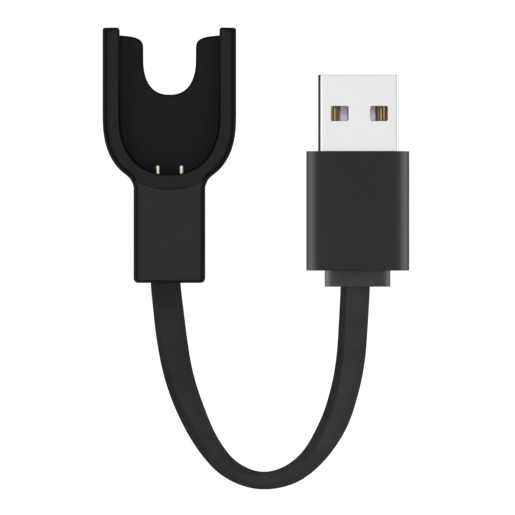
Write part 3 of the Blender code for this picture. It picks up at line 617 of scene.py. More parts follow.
@dataclass
class Cradle:
    """The U-shaped cradle: rim, neck cover, base plate and tray."""

    outline: Box = field(default_factory=lambda: Box.of("cradle_frame"))
    base: Box = field(default_factory=lambda: Box.of("cradle_base"))
    pins: Box = field(default_factory=lambda: Box.of("pogo_barrel_right"))
    widening: float = 0.04
    curve_start: float = 12.85
    curve_depth: float = 10.65
    curve_power: float = 2.55
    recess_half_width: float = 7.45
    recess_depth: float = 9.0
    recess_power: float = 2.35
    plate_top: float = 2.0
    parting: float = 0.05
    parting_bevel: float = 0.1
    rim_round: float = 1.15
    seam_round: float = 0.16
    recess_round: float = 0.3
    arm_corner: float = 0.35
    seam_radius: float = 12.0
    seam_length: float = 24.1
    neck_half_width: float = 5.33
    neck_flare: float = 1.25
    neck_flare_tail: float = 1.15
    neck_drop: float = 0.06
    neck_round: float = 1.0
    neck_corner: float = 0.7
    hollow_half_width: float = 3.85
    hollow_top: float = 8.35
    hollow_rear: float = -17.6
    slot_middle: tuple[float, float] = (-0.6, 5.0)
    slot_half: tuple[float, float] = (2.42, 1.55)
    pin_hole: float = 0.65
    pin_window: float = 0.9
    cutout_half_width: float = 3.92
    cutout_length: float = 9.92
    cutout_depth: float = 5.4
    cutout_power: float = 2.4
    tray_set_back: float = 1.09
    tray_corner_depth: float = 2.0
    tray_corner_power: float = 2.8
    tray_bow: float = 0.08
    tray_bevel: float = 0.42
    tray_wall_gap: float = 0.05
    near_columns: tuple[float, ...] = (3.3, 3.9, 4.4, 4.75, 5.0, 5.2, 5.4)
    seam_fade: tuple[float, float] = (4.6, 0.95)
    wall_rows: tuple[float, float] = (3.6, 8.0)
    rim_lip: float = 0.45
    pin_bevel: float = 0.08
    neck_tuck: float = 0.35
    slot_corner: float = 0.95
    slot_bevel: float = 0.15
    hollow_front: float = -8.0
    hollow_corner: float = 0.3
    foot_round: float = 0.3
    fine_bevel: float = 0.08
    margin: float = 0.04
    sunk: float = 0.1

    def __post_init__(self) -> None:
        """Takes the overall places from the frame."""
        self.half_width = self.outline.high[0] + self.widening
        self.front, self.rear = self.outline.high[1], self.outline.low[1]
        self.top = self.outline.high[2]
        self.curve_y = self.front - self.curve_start
        self.outer_end = RoundEnd(self.half_width, self.curve_depth, self.curve_y,
                                  self.curve_power)
        self.inner_end = RoundEnd(self.recess_half_width, self.recess_depth, self.curve_y,
                                  self.recess_power)
        self.seam_y = self.front - self.seam_length + self.seam_radius
        self.pin_x, self.pin_z = self.pins.middle[0], self.pins.middle[2]
        self.pin_stops = np.linspace(-1, 1, 7)

    # Rim ---------------------------------------------------------------

    def near_x(self) -> Array:
        """Returns the x places of the columns near the middle, with the pin hole's block."""
        block = self.pin_x + self.pin_window * self.pin_stops
        return np.concatenate([[0.0, block[0] / 2], block, self.near_columns])

    def seam(self, x: Array | float) -> Array:
        """Returns the y of the arc where the rim's top ends on the neck: c - sqrt(r^2 - x^2)."""
        return self.seam_y - np.sqrt(self.seam_radius ** 2 - np.square(x))

    def seam_share(self) -> float:
        """Returns the flare's parameter where it meets the seam."""
        share = np.linspace(0, 1, 401)
        line = self.flare(share)
        return float(share[np.argmax(line[:, 1] < self.seam(line[:, 0]))])

    def outer_line(self) -> Array:
        """Returns the rim's outside from the seam's middle to the straight side."""
        near = self.near_x()
        flare = self.flare(np.linspace(self.seam_share(), 0, 7))
        side = self.outer_end.at(np.linspace(self.outer_end.angle(flare[-1, 0]), 0, 22)[1:])
        return np.concatenate([np.stack([near, self.seam(near)], axis=-1), flare, side])

    def rim_half(self, distance: Array) -> Array:
        """Returns the rim's right half, moved into the plastic by a distance for each point.

        It runs from the seam's middle up the outside, round the arm's end and down the recess.
        The curves are pushed square to themselves; each arm corner is an arc of the radius that
        is left.

        Args:
            distance: one for each of the half's points, or all zeros.

        Returns:
            An array of points by 2.
        """
        outer = self.outer_line()
        near_x = self.near_x()
        inner = self.inner_end.at(np.concatenate([
            self.inner_end.angle(near_x),
            np.linspace(self.inner_end.angle(near_x[-1]), 0, 19)[1:]]))[::-1]
        inner[-1, 0] = 0.0
        sizes = [len(outer), 4, 6, 4, 6, 4, len(inner)]
        near = np.split(distance, np.cumsum(sizes)[:-1])
        turn = np.radians(np.linspace(0, 90, 6))
        share = np.linspace(0, 1, 6)[1:-1]

        rise = self.curve_y + (self.front - self.arm_corner - self.curve_y) * share
        left = np.maximum(self.arm_corner - near[2], 0.01)
        edge = self.half_width - near[2] - left
        corner = np.stack([edge + left * np.cos(turn),
                           self.front - near[2] - left * (1 - np.sin(turn))], axis=-1)
        left_in = np.maximum(self.arm_corner - near[4], 0.01)
        edge_in = self.recess_half_width + near[4] + left_in
        corner_in = np.stack([edge_in - left_in * np.sin(turn),
                              self.front - near[4] - left_in * (1 - np.cos(turn))], axis=-1)
        end = np.stack([corner[-1, 0] * (1 - share) + corner_in[0, 0] * share,
                        self.front - near[3]], axis=-1)
        return np.concatenate([
            pushed(outer, near[0]), np.stack([self.half_width - near[1], rise], axis=-1), corner,
            end, corner_in, np.stack([self.recess_half_width + near[5], rise[::-1]], axis=-1),
            pushed(inner, near[6])])

    def rim_edge_radius(self) -> Array:
        """Returns the top edge's radius for each point of rim_half.

        It is rim_round outside, falling to seam_round along the seam, and recess_round inside,
        with a straight change across the arm's end.
        """
        outer = self.outer_line()
        from_x, length = self.seam_fade
        blend = np.clip((outer[:, 0] - from_x) / length, 0, 1)
        start = self.seam_round + (self.rim_round - self.seam_round) * blend ** 2
        end = np.linspace(self.rim_round, self.recess_round, 6)[1:-1]
        inner = len(self.near_x()) + 18
        return np.concatenate([start, np.full(10, self.rim_round), end,
                               np.full(10 + inner, self.recess_round)])

    def build_rim(self) -> bpy.types.Object:
        """Builds the U-shaped rim.

        The surface is rim_half, mirrored, at rows of heights: a bevelled parting line, an upright
        wall, and a rounded top edge of inset r(1 - cos) and drop r(1 - sin). A block of quads at
        each pin is left out of both walls, and a tunnel joins the two openings.

        Returns:
            The rim.
        """
        radius = self.rim_edge_radius()
        half = len(radius)
        bottom = self.plate_top + self.parting
        heights = self.pin_z + self.pin_window * self.pin_stops
        walls = np.concatenate([[bottom + self.parting_bevel, self.wall_rows[0]], heights,
                                [self.wall_rows[1]]])
        inward, down = quarter(7)
        distance = np.concatenate([[np.full(half, self.rim_lip), np.full(half, self.parting_bevel)],
                                   np.zeros((len(walls), half)),
                                   inward[:, None] * radius, [radius + 0.05]])
        height = np.concatenate([[np.full(half, bottom)] * 2,
                                 np.repeat(walls[:, None], half, axis=1),
                                 self.top - down[:, None] * radius, [np.full(half, self.top)]])
        rows = np.stack([np.column_stack([self.rim_half(d), z]) for d, z in zip(distance, height)])
        back = rows[:, -2:0:-1] * (-1, 1, 1)
        points = np.concatenate([rows, back], axis=1)

        skin = Skin()
        numbers = skin.add(points)
        columns = points.shape[1]
        skip = np.zeros(points.shape[:2], bool)
        first = 2 + 2
        last = first + len(heights) - 1
        near = np.arange(2, 2 + len(self.pin_stops))
        for side in (1, -1):
            outer = near if side > 0 else (columns - near[::-1]) % columns
            inner = (half - 1 - near) if side > 0 else (half - 1 + near[::-1])
            rings = []
            for wall in (inner, outer):
                skip[first:last, wall.min():wall.max()] = True
                rings.append(border(numbers[first:last + 1][:, wall]))
            self.pin_tunnel(skin, rings[0], rings[1], side)
        skin.join(numbers, skip=skip)
        skin.cap(numbers[0], numbers[-1])
        return skin.build("rim", RIM_BLACK, ("cradle_frame",))

    def pin_tunnel(self, skin: Skin, inner: Array, outer: Array, side: int) -> None:
        """Joins the opening in the recess's wall to the one in the outer wall.

        The rings are softened squares of share 1, which are circles, standing on each wall's
        curve; the recess's end has a small bevel.

        Args:
            skin: the rim's skin.
            inner: numbers of the block's border on the recess side.
            outer: numbers of the block's border on the outside.
            side: 1 for the right pin and -1 for the left.
        """
        ring = softened(square_ring(self.pin_stops), 1.0)

        def stand(radius: float, wall: Callable[[Array], Array], back: float) -> Array:
            """Returns a circle on a wall's curve, moved back from it."""
            x = side * self.pin_x + radius * ring[:, 0]
            return np.stack([x, wall(x) - back, self.pin_z + radius * ring[:, 1]], axis=-1)

        hole = self.pin_hole
        rows = [stand(hole + self.pin_bevel, self.inner_end.y, 0.0),
                stand(hole, self.inner_end.y, self.pin_bevel), stand(hole, self.seam, 0.0)]
        numbers = np.stack([skin.add(row) for row in rows])
        skin.join(np.concatenate([[inner], numbers, [outer]]))

    # Neck --------------------------------------------------------------

    def flare(self, share: Array) -> Array:
        """Returns the neck's hollow corner, from the round end to the neck's straight side.

        It is the quadratic curve (1-t)^2 A + 2t(1-t) B + t^2 C, where A lies on the round end, B
        is where the end's tangent meets the neck's side, and C is further down that side.

        Args:
            share: t, from 0 to 1.

        Returns:
            An array of points by 2.
        """
        x = self.neck_half_width + self.neck_flare
        ahead = self.outer_end.y(np.array([x, x - 0.01]))
        slope = (ahead[0] - ahead[1]) / 0.01
        start = np.array([x, ahead[0]])
        meet = np.array([self.neck_half_width, ahead[0] - slope * self.neck_flare])
        end = meet - (0.0, self.neck_flare_tail)
        t = share[:, None]
        return (1 - t) ** 2 * start + 2 * t * (1 - t) * meet + t ** 2 * end

    def build_neck(self) -> bpy.types.Object:
        """Builds the neck cover, hollow, with the cable's slot in its rear wall.

        The surface is a rounded rectangle carried along Y. Its first rows follow the rim's round
        end and flare; the last ones shrink by r(1 - cos) as y nears the end by r(1 - sin). It
        then turns in through the slot and runs forward again as the hollow.

        Returns:
            The neck cover.
        """
        bottom, top = self.plate_top + self.parting, self.top - self.neck_drop
        rows: list[tuple[float | Array, Array]] = []

        def section(half: float, lid: float, radius: float) -> Array:
            """Returns the neck's outer section."""
            low = self.parting_bevel
            return rounded_loop((-half, bottom), (half, lid), (radius, radius, low, low), 7, 14)

        first = self.seam_share()
        share = np.concatenate([[first], np.linspace(first, 1, 12)])
        side = self.flare(share)
        tuck = np.concatenate([[self.neck_tuck], np.zeros(12)])
        for t, (half, y), more in zip(share, side, tuck):
            loop = section(half - 0.3 * more, top - 0.3 * more, self.neck_round)
            curve = (1 - t) / (1 - first) * (self.seam(loop[:, 0]) - side[0, 1])
            rows.append((y + curve + more, loop))
        for y in np.linspace(side[-1, 1], self.rear + self.neck_corner, 6)[1:-1]:
            rows.append((y, section(self.neck_half_width, top, self.neck_round)))
        for inward, down in zip(*quarter(7)):
            less = self.neck_corner * inward
            rows.append((self.rear + self.neck_corner * down,
                         section(self.neck_half_width - less, top - less,
                                 max(self.neck_round - less, 0.03))))
        flat = self.neck_corner + 0.05
        rows.append((self.rear, section(self.neck_half_width - flat, top - flat, 0.03)))
        half_x, half_z = self.slot_half
        for y, grow in ((self.rear, self.slot_bevel), (self.rear + self.slot_bevel, 0.0),
                        (self.hollow_rear, 0.0)):
            rows.append((y, bar_loop(half_x + grow, half_z + grow, self.slot_corner,
                                     self.slot_middle, 7, 14)))
        hollow = rounded_loop((-self.hollow_half_width, bottom + 0.2),
                              (self.hollow_half_width, self.hollow_top),
                              (self.hollow_corner,) * 4, 7, 14)
        rows += [(self.hollow_rear, hollow), (self.hollow_front, hollow),
                 (self.seam(hollow[:, 0]) + self.neck_tuck, hollow)]
        return Skin().tube(rows).build("neck_cover", NECK_PAINTED_LIT_BLACK, ("cradle_frame",))

    # Base --------------------------------------------------------------

    def tray_edge(self, gap: float) -> Array:
        """Returns the right half of the tray's front: wall, front edge, corner and cut-out.

        Args:
            gap: room between the tray and the recess's wall.

        Returns:
            An array of points by 2, ending at the middle of the cut-out.
        """
        bowl = RoundEnd(self.cutout_half_width, self.cutout_depth,
                        self.front - self.cutout_length + self.cutout_depth, self.cutout_power)
        line = bowl.at(np.radians(np.linspace(0, 90, 31)))
        line[-1, 0] = 0.0
        rise = np.linspace(self.front - self.tray_set_back - self.tray_corner_depth,
                           bowl.start, 4)[1:-1]
        straight = np.stack([np.full(2, self.cutout_half_width), rise], axis=-1)
        return np.concatenate([self.front_sweep(gap), straight, line])

    def front_sweep(self, gap: float) -> Array:
        """Returns the tray's front edge and corner, from the wall to the cut-out's side.

        It is a quarter of a superellipse, x reach cos^(2/n) and y rise sin^(2/n), less a bow of
        4 h s (1 - s) at the share s of the way.
        """
        wall = self.recess_half_width - gap
        turn = np.radians(np.linspace(90, 0, 22))
        reach = np.clip(np.cos(turn), 0, 1) ** (2 / self.tray_corner_power)
        rise = np.sin(turn) ** (2 / self.tray_corner_power)
        front = self.front - self.tray_set_back
        return np.stack([wall - (wall - self.cutout_half_width) * reach,
                         front - self.tray_corner_depth * (1 - rise)
                         - 4 * self.tray_bow * reach * (1 - reach)], axis=-1)

    def base_outline(self) -> Array:
        """Returns the base plate's outline, counter-clockwise from the rear middle."""
        turn = np.radians(np.linspace(0, 90, 8))
        r = self.neck_corner
        rear = np.stack([self.neck_half_width - r * (1 - np.sin(turn)),
                         self.rear + r * (1 - np.cos(turn))], axis=-1)
        flare = self.flare(np.linspace(1, 0, 13))
        side = self.outer_end.at(np.linspace(self.outer_end.angle(flare[-1, 0]), 0, 22)[1:])
        turn = np.radians(np.linspace(0, 90, 5))
        c = self.arm_corner
        arm = np.stack([self.half_width - c * (1 - np.cos(turn)),
                        self.front - c * (1 - np.sin(turn))], axis=-1)
        arm_in = np.stack([self.recess_half_width + c * (1 - np.sin(turn)),
                           self.front - c * (1 - np.cos(turn))], axis=-1)
        front = self.tray_edge(0.0)
        half = np.concatenate([[[0.0, self.rear]], rear, flare, side, arm, arm_in, front])
        return mirrored(half)

    def build_base(self) -> list[bpy.types.Object]:
        """Builds the base plate and the raised tray on it.

        Each is an outline carried up in rows: the plate with a rounded lower edge and a bevelled
        parting line, the tray with a softened upper edge that is wide along its front and narrow
        along the walls.

        Returns:
            The plate and the tray.
        """
        outline = self.base_outline()
        low = self.base.low[2]
        inward, down = quarter(4)
        foot, bevel = self.foot_round, self.fine_bevel
        rows = [at_height(inset(outline, foot + self.margin), low)]
        rows += [at_height(inset(outline, foot * i), low + foot * d)
                 for i, d in zip(inward[::-1], down[::-1])]
        rows += [at_height(outline, self.plate_top - bevel),
                 at_height(inset(outline, bevel), self.plate_top),
                 at_height(inset(outline, bevel + self.margin), self.plate_top)]
        plate = Skin().bar(np.stack(rows))

        front = self.tray_edge(self.tray_wall_gap)
        angle = np.concatenate([np.linspace(0, 0.8, 12)[1:],
                                np.linspace(0.8, np.pi / 2, 14)[1:]])
        wall = self.inner_end.inside(self.tray_wall_gap).at(angle)
        start = np.array([[self.recess_half_width - self.tray_wall_gap, self.curve_y]])
        half = np.concatenate([front[::-1], start, wall])
        half[-1, 0] = 0.0
        loop = mirrored(half)[::-1]
        middle = (loop + np.roll(loop, -1, axis=0)) / 2
        at_front = (middle[:, 1] > self.front - self.cutout_length - 0.2) & (
            np.abs(middle[:, 0]) < front[0, 0] - 0.001)
        wide = np.where(at_front, self.tray_bevel, bevel)
        drop = (wide + np.roll(wide, 1)) / 2
        tray_top = self.base.high[2]
        outer = inset(loop, np.where(at_front, 0.02, 0.0))
        rows = [at_height(inset(outer, 0.2), self.plate_top - self.sunk),
                at_height(outer, self.plate_top - self.sunk)]
        rows += [at_height(inset(outer, wide * i), tray_top - drop * d)
                 for i, d in zip(*quarter(4))]
        rows.append(at_height(inset(outer, wide + self.margin), tray_top))
        tray = Skin().bar(np.stack(rows))
        return [plate.build("base_plate", BASE_BLACK, ("cradle_base",)),
                tray.build("tray", BASE_BLACK, ("cradle_base",))]

    def build(self) -> list[bpy.types.Object]:
        """Builds every piece of the cradle's mouldings."""
        return [self.build_rim(), self.build_neck(), *self.build_base()]


# ---------------------------------------------------------------------------
# Spring pins
# ---------------------------------------------------------------------------

@dataclass
class SpringPins:
    """The two gold plungers and the springs behind them."""

    tip_length: float = 0.3
    stand_out: float = 0.2
    chamfer: float = 0.08
    head: float = 1.6
    wire: float = 0.06
    turns: int = 7

    def build_plunger(self, side: str) -> bpy.types.Object:
        """Turns a plunger: a domed tip, a straight body and a chamfered tail.

        The profile (radius, y) is turned about the pin's own line along Y; the dome is part of
        an ellipse, radius r sqrt(1 - t^2) at t times the tip's length past the body.

        Args:
            side: left or right.

        Returns:
            The plunger.
        """
        box = Box.of(f"pogo_plunger_{side}")
        radius = box.size[0] / 2
        x, z = box.middle[0], box.middle[2]
        front, tail = box.high[1] + self.stand_out, box.low[1]
        share = np.sin(np.radians(np.linspace(0, 84, 9)))
        dome_r = radius * np.sqrt(1 - share ** 2)
        dome_y = front - self.tip_length + self.tip_length * share
        profile = np.concatenate([
            [[0.05, tail], [radius - self.chamfer, tail], [radius, tail + self.chamfer],
             [radius, front - self.head]],
            np.stack([dome_r, dome_y], axis=-1)])
        angle = np.radians(np.arange(32) * 360 / 32)
        rows = np.stack([x + profile[:, :1] * np.cos(angle),
                         np.broadcast_to(profile[:, 1:], (len(profile), len(angle))),
                         z + profile[:, :1] * np.sin(angle)], axis=-1)
        return Skin().bar(rows).build(f"pin_{side}", PIN_GOLD, (f"pogo_plunger_{side}",),
                                      f"plunger_{side}")

    def build_spring(self, side: str) -> bpy.types.Object:
        """Winds a coil spring: a circle carried along a helix with closed end turns.

        The helix is centre + R (cos, sin) across and y falling by the pitch; the pitch is small
        over the first and last turn.

        Args:
            side: left or right.

        Returns:
            The spring.
        """
        box = Box.of(f"pogo_spring_{side}")
        coil = box.size[0] / 2 - self.wire
        share = np.linspace(0, 1, self.turns * 20 + 1)
        eased = np.interp(share, [0, 0.12, 0.88, 1], [0, 0.05, 0.95, 1])
        angle = 2 * np.pi * self.turns * share
        length = box.size[1] - 2 * self.wire
        line = np.stack([box.middle[0] + coil * np.cos(angle),
                         box.high[1] - self.wire - length * eased,
                         box.middle[2] + coil * np.sin(angle)], axis=-1)
        outward = np.stack([np.cos(angle), np.zeros_like(angle), np.sin(angle)], axis=-1)
        turn = np.radians(np.arange(8) * 45)[None, :, None]
        rows = line[:, None] + self.wire * (np.cos(turn) * outward[:, None]
                                            + np.sin(turn) * np.array([0.0, 1.0, 0.0]))
        piece = Skin().bar(rows).build(f"spring_{side}", SPRING_STEEL, (f"pogo_spring_{side}",))
        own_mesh(piece)
        return piece

    def build(self) -> None:
        """Builds both plungers and their springs."""
        for side in ("left", "right"):
            self.build_plunger(side)
            self.build_spring(side)


# ---------------------------------------------------------------------------
# Cable
# ---------------------------------------------------------------------------

@dataclass
class FlatCable:
    """The flat cable, with its broad faces a little crowned and half a twist along it."""

    width: float = 4.3
    edge_height: float = 1.6
    crown: float = 0.53
    edge_round: float = 0.14
    step: float = 0.35
    into_neck: float = 1.5
    into_plug: float = 0.9
    belly: float = 0.13
    steps: int = 24

    def line(self) -> tuple[Array, Array]:
        """Returns the centreline and the turn at each of its points.

        Each stretch is the Catmull-Rom cubic through the route's own points, whose fourth
        coordinate is the turn; straight ends run into the neck and the plug.

        Returns:
            Points by 3 in millimetres, and angles in radians.
        """
        knots = np.column_stack([np.array(CABLE_ROUTE) / MM, np.radians(CABLE_TURN)])
        padded = np.concatenate([[2 * knots[0] - knots[1]], knots, [2 * knots[-1] - knots[-2]]])
        t = np.linspace(0, 1, self.steps, endpoint=False)[None, :, None]
        a, b, c, d = (padded[i:len(padded) - 3 + i, None] for i in range(4))
        curve = 0.5 * (2 * b + (c - a) * t + (2 * a - 5 * b + 4 * c - d) * t ** 2
                       + (3 * b - a - 3 * c + d) * t ** 3)
        curve = np.concatenate([curve.reshape(-1, 4), knots[-1:]])
        ahead = np.array([0.0, 1.0, 0.0, 0.0])
        curve = np.concatenate([[curve[0] + ahead * self.into_neck], curve,
                                [curve[-1] + ahead * self.into_plug]])
        reach = np.concatenate([[0], np.cumsum(np.linalg.norm(np.diff(curve[:, :3], axis=0),
                                                              axis=1))])
        even = np.linspace(0, reach[-1], int(reach[-1] / self.step) + 1)
        even_line = np.stack([np.interp(even, reach, curve[:, i]) for i in range(4)], axis=-1)
        soft = np.pad(even_line, ((3, 3), (0, 0)), mode="edge")
        window = np.array([1, 2, 3, 3, 3, 2, 1]) / 15
        smooth = np.stack([np.convolve(soft[:, i], window, mode="valid") for i in range(4)],
                          axis=-1)
        smooth[[0, 1, 2, -3, -2, -1]] = even_line[[0, 1, 2, -3, -2, -1]]
        return smooth[:, :3], smooth[:, 3]

    def section(self) -> Array:
        """Returns the cable's section: across its width, and through its thickness.

        A broad face is the arc edge/2 + crown (1 - (p/half)^2); small quarter circles join it to
        the upright edges.

        Returns:
            An array of points by 2, counter-clockwise.
        """
        half, rise, r = self.width / 2, self.edge_height / 2, self.edge_round
        across = np.linspace(half - r, -(half - r), 17)
        broad = np.stack([across, rise + self.crown * (1 - (across / half) ** 2)], axis=-1)
        turn = np.radians(np.linspace(0, 75, 5))
        top = float(broad[0, 1])
        corner = np.stack([half - r + r * np.cos(turn), top - r + r * np.sin(turn)], axis=-1)
        upper = np.concatenate([[[half, 0.0]], corner, broad, corner[::-1] * (-1, 1)])
        lower = np.concatenate([[[-half, 0.0]], corner * (-1, -1), broad[::-1] * (1, -1),
                                corner[::-1] * (1, -1)])
        return np.concatenate([upper, lower])

    def build(self, plug: list[bpy.types.Object | str]) -> bpy.types.Object:
        """The section's axes turn about the line: across = -cos(turn) H + sin(turn) U and
        through = cos(turn) U + sin(turn) H, where H is level, U completes it, and both are
        square to the line. The cable stands out of its bend by belly sin^2 along its length.

        Args:
            plug: the pieces on the cable's far end; not used.

        Returns:
            The cable.
        """
        line, turn = self.line()
        heading = np.gradient(line, axis=0)
        heading /= np.linalg.norm(heading, axis=1, keepdims=True)
        level = np.cross([0.0, 0.0, 1.0], heading)
        level /= np.linalg.norm(level, axis=1, keepdims=True)
        up = np.cross(heading, level)
        cos, sin = np.cos(turn)[:, None], np.sin(turn)[:, None]
        across, through = -cos * level + sin * up, cos * up + sin * level
        loop = self.section()
        bulge = self.belly * np.sin(np.linspace(0, np.pi, len(line))) ** 2
        rows = ((line - bulge[:, None] * level)[:, None] + loop[None, :, :1] * across[:, None]
                + loop[None, :, 1:] * through[:, None])
        skin = Skin().bar(rows)
        along = np.concatenate([[0], np.cumsum(np.linalg.norm(np.diff(line, axis=0), axis=1))])
        sides = np.linalg.norm(np.diff(loop, axis=0, append=loop[:1]), axis=1)
        around = np.concatenate([[0], np.cumsum(sides)[:-1]])
        grid = np.stack(np.meshgrid(along, around, indexing="ij"), axis=-1)
        skin.map = grid.reshape(-1, 2) * MM
        piece = skin.build("cable", CABLE_RUBBER, ("flat_cable",), sharp=40.0)
        return piece


# ---------------------------------------------------------------------------
# Plug
# ---------------------------------------------------------------------------

@dataclass
class Plug:
    """The USB-A plug: cover, inner moulding, shell, tongue and contacts."""

    sleeve: Box = field(default_factory=lambda: Box.of("plug_sleeve"))
    mould: Box = field(default_factory=lambda: Box.of("plug_inner_mould"))
    shell: Box = field(default_factory=lambda: Box.of("usb_shell"))
    tongue: Box = field(default_factory=lambda: Box.of("usb_tongue"))
    sleeve_corner: float = 2.3
    sleeve_rear_wall: float = 1.2
    edge: float = 0.1
    collar: tuple[float, float] = (9.79, 4.9)
    collar_shift: float = -0.04
    shell_shift: float = 0.09
    shell_trim: float = -0.02
    window_shift: float = 0.2
    collar_corner: float = 1.4
    cable_x: float = 27.67
    channel: tuple[float, float] = (5.0, 3.3)
    shell_wall: float = 0.3
    shell_corner: float = 0.6
    window_x: float = 2.93
    window: tuple[float, float] = (2.6, 2.2)
    window_corner: float = 0.35
    window_from_tip: float = 5.8
    block_margin: float = 0.3
    shell_fit: float = 0.05
    collar_fit: float = 0.04
    collar_edge: float = 0.12
    seat_depth: float = 1.4
    rear_rows: int = 7
    tongue_block: float = 5.6
    tongue_nose: float = 0.25
    groove_depth: float = 0.42
    groove_gap: float = 0.06
    groove_slope: float = 0.015
    contact_rear_width: float = 1.7
    contact_front_width: float = 1.0

    def __post_init__(self) -> None:
        """Takes the plug's own axis from the frame."""
        self.x, self.z = self.shell.middle[0], self.shell.middle[2]

    def at(self, half_width: float, half_height: float, radius: float) -> Array:
        """Returns a rounded rectangle on the plug's own axis."""
        return bar_loop(half_width, half_height, radius, (self.x, self.z), 8, 4)

    def collar_at(self, half_width: float, half_height: float) -> Array:
        """Returns the collar's section, which stands a little to one side."""
        return self.at(half_width, half_height, self.collar_corner) + (self.collar_shift, 0.0)

    def build_sleeve(self) -> bpy.types.Object:
        """Builds the cover: a rounded bar carried along Y, its rear opening and its bore."""
        half, tall = self.sleeve.size[0] / 2, self.sleeve.size[2] / 2
        rear, front = self.sleeve.low[1], self.sleeve.high[1]
        e, r = self.edge, self.sleeve_corner
        shell = self.shell.size / 2
        wide, high = (side / 2 + self.collar_fit for side in self.collar)
        bore = self.at(shell[0] + self.shell_fit, shell[2] + self.shell_fit,
                       self.shell_corner + self.shell_fit)
        wall = rear + self.sleeve_rear_wall
        rows = []
        for i, d in zip(*(part[::-1] for part in quarter(3))):
            rows.append((rear + e * d, self.at(half - e * i, tall - e * i, r - e * i)))
        rows += [(y, self.at(half, tall, r)) for y in np.linspace(rear + 2 * e, front - 2 * e, 6)]
        for i, d in zip(*quarter(3)):
            rows.append((front - e * d, self.at(half - e * i, tall - e * i, r - e * i)))
        rows += [(front, bore), (wall, bore), (wall, self.collar_at(wide, high)),
                 (rear, self.collar_at(wide, high))]
        return Skin().tube(rows).build("plug_cover", SLEEVE_BLACK, ("plug_sleeve",))

    def build_mould(self, cable: FlatCable) -> bpy.types.Object:
        """Builds the inner moulding, whose collar closes round the cable.

        The outside steps from the collar to the wide block. The inside is the cable's own
        section, turned as the cable is there, and then a round-cornered channel for the leads.

        Args:
            cable: the cable, for its section and turn.

        Returns:
            The inner moulding.
        """
        rear, front = self.mould.low[1], self.mould.high[1]
        block = self.shell.size / 2
        step = self.sleeve.low[1] + self.sleeve_rear_wall + self.shell_fit
        outside = self.at(block[0], block[2], self.shell_corner)
        wide, high = self.collar[0] / 2, self.collar[1] / 2
        e = self.collar_edge
        rows = []
        for i, d in zip(*(part[::-1] for part in quarter(3))):
            rows.append((rear + e * d, self.collar_at(wide - e * i, high - e * i)))
        rows += [(step, self.collar_at(wide, high)), (step, outside), (front, outside)]
        seat = self.cable_seat(cable, np.radians(CABLE_TURN[-1]))
        lead = bar_loop(self.channel[0] / 2, self.channel[1] / 2, 1.0, (self.cable_x, self.z),
                        8, 4)
        rows += [(front, lead), (rear + self.seat_depth + 0.2, lead),
                 (rear + self.seat_depth, seat), (rear, seat)]
        return Skin().tube(rows).build("plug_collar", COLLAR_BLACK, ("plug_inner_mould",))

    def cable_seat(self, cable: FlatCable, turn: float) -> Array:
        """Returns the hole that fits the turned cable.

        The cable's turned section is read at the angles of a round-cornered bar's points, as the
        distance from the middle to the section in that direction.

        Args:
            cable: the cable, for its section.
            turn: how far the cable has turned, in radians.

        Returns:
            Points by 2, as many as the plug's other sections have.
        """
        loop = cable.section() * 1.004
        x = np.cos(turn) * loop[:, 0] - np.sin(turn) * loop[:, 1]
        z = np.sin(turn) * loop[:, 0] + np.cos(turn) * loop[:, 1]
        guide = bar_loop(2.0, 1.5, 0.9, (0.0, 0.0), 8, 4)
        bearing = np.arctan2(z, x)
        order = np.argsort(bearing)
        wanted = np.arctan2(guide[:, 1], guide[:, 0])
        reach = np.interp(wanted, bearing[order], np.hypot(x, z)[order], period=2 * np.pi)
        return np.stack([self.cable_x + reach * np.cos(wanted),
                         self.z + reach * np.sin(wanted)], axis=-1)

    def stops(self) -> Array:
        """Returns the divisions of a window's block, closer towards its corners."""
        near = np.array([1.0, 0.95, 0.9, 0.83, 0.73, 0.4])
        return np.concatenate([-near, [0.0], near[::-1]])

    def shell_loop(self, less: float, seam: float) -> Array:
        """Returns the shell's section, with the windows' divisions along both wide faces.

        Args:
            less: how far it lies inside the outer surface.
            seam: depth of the seam's groove along the underside.

        Returns:
            Points by 2, counter-clockwise from the lower end of the right side.
        """
        half = self.shell.size[0] / 2 - self.shell_trim - less
        tall = self.shell.size[2] / 2 - less
        r = self.shell_corner - less
        right = np.concatenate([[0.0, 0.04, 0.6], self.block_x(), [half - r]])
        across = np.concatenate([-right[:0:-1], right])
        turn = np.radians(np.linspace(0, 90, 9))[1:-1]
        corner = np.stack([np.cos(turn), np.sin(turn)], axis=-1) * r
        middle = np.array([half - r, tall - r])
        side = np.stack([np.full(5, half), np.linspace(r - tall, tall - r, 5)], axis=-1)
        top = np.stack([across[::-1], np.full(len(across), tall)], axis=-1)
        base = np.stack([across, np.full(len(across), -tall)], axis=-1)
        base[np.abs(across) < 0.01, 1] += seam
        loop = np.concatenate([side, middle + corner, top,
                               (middle + corner[::-1]) * (-1, 1), side[::-1] * (-1, 1),
                               (middle + corner) * (-1, -1), base,
                               (middle + corner[::-1]) * (1, -1)])
        return loop + (self.x + self.shell_shift, self.z)

    def block_x(self) -> Array:
        """Returns the divisions across the right-hand window's block, from the plug's axis."""
        return self.window_x + (self.window[0] / 2 + self.block_margin) * self.stops()

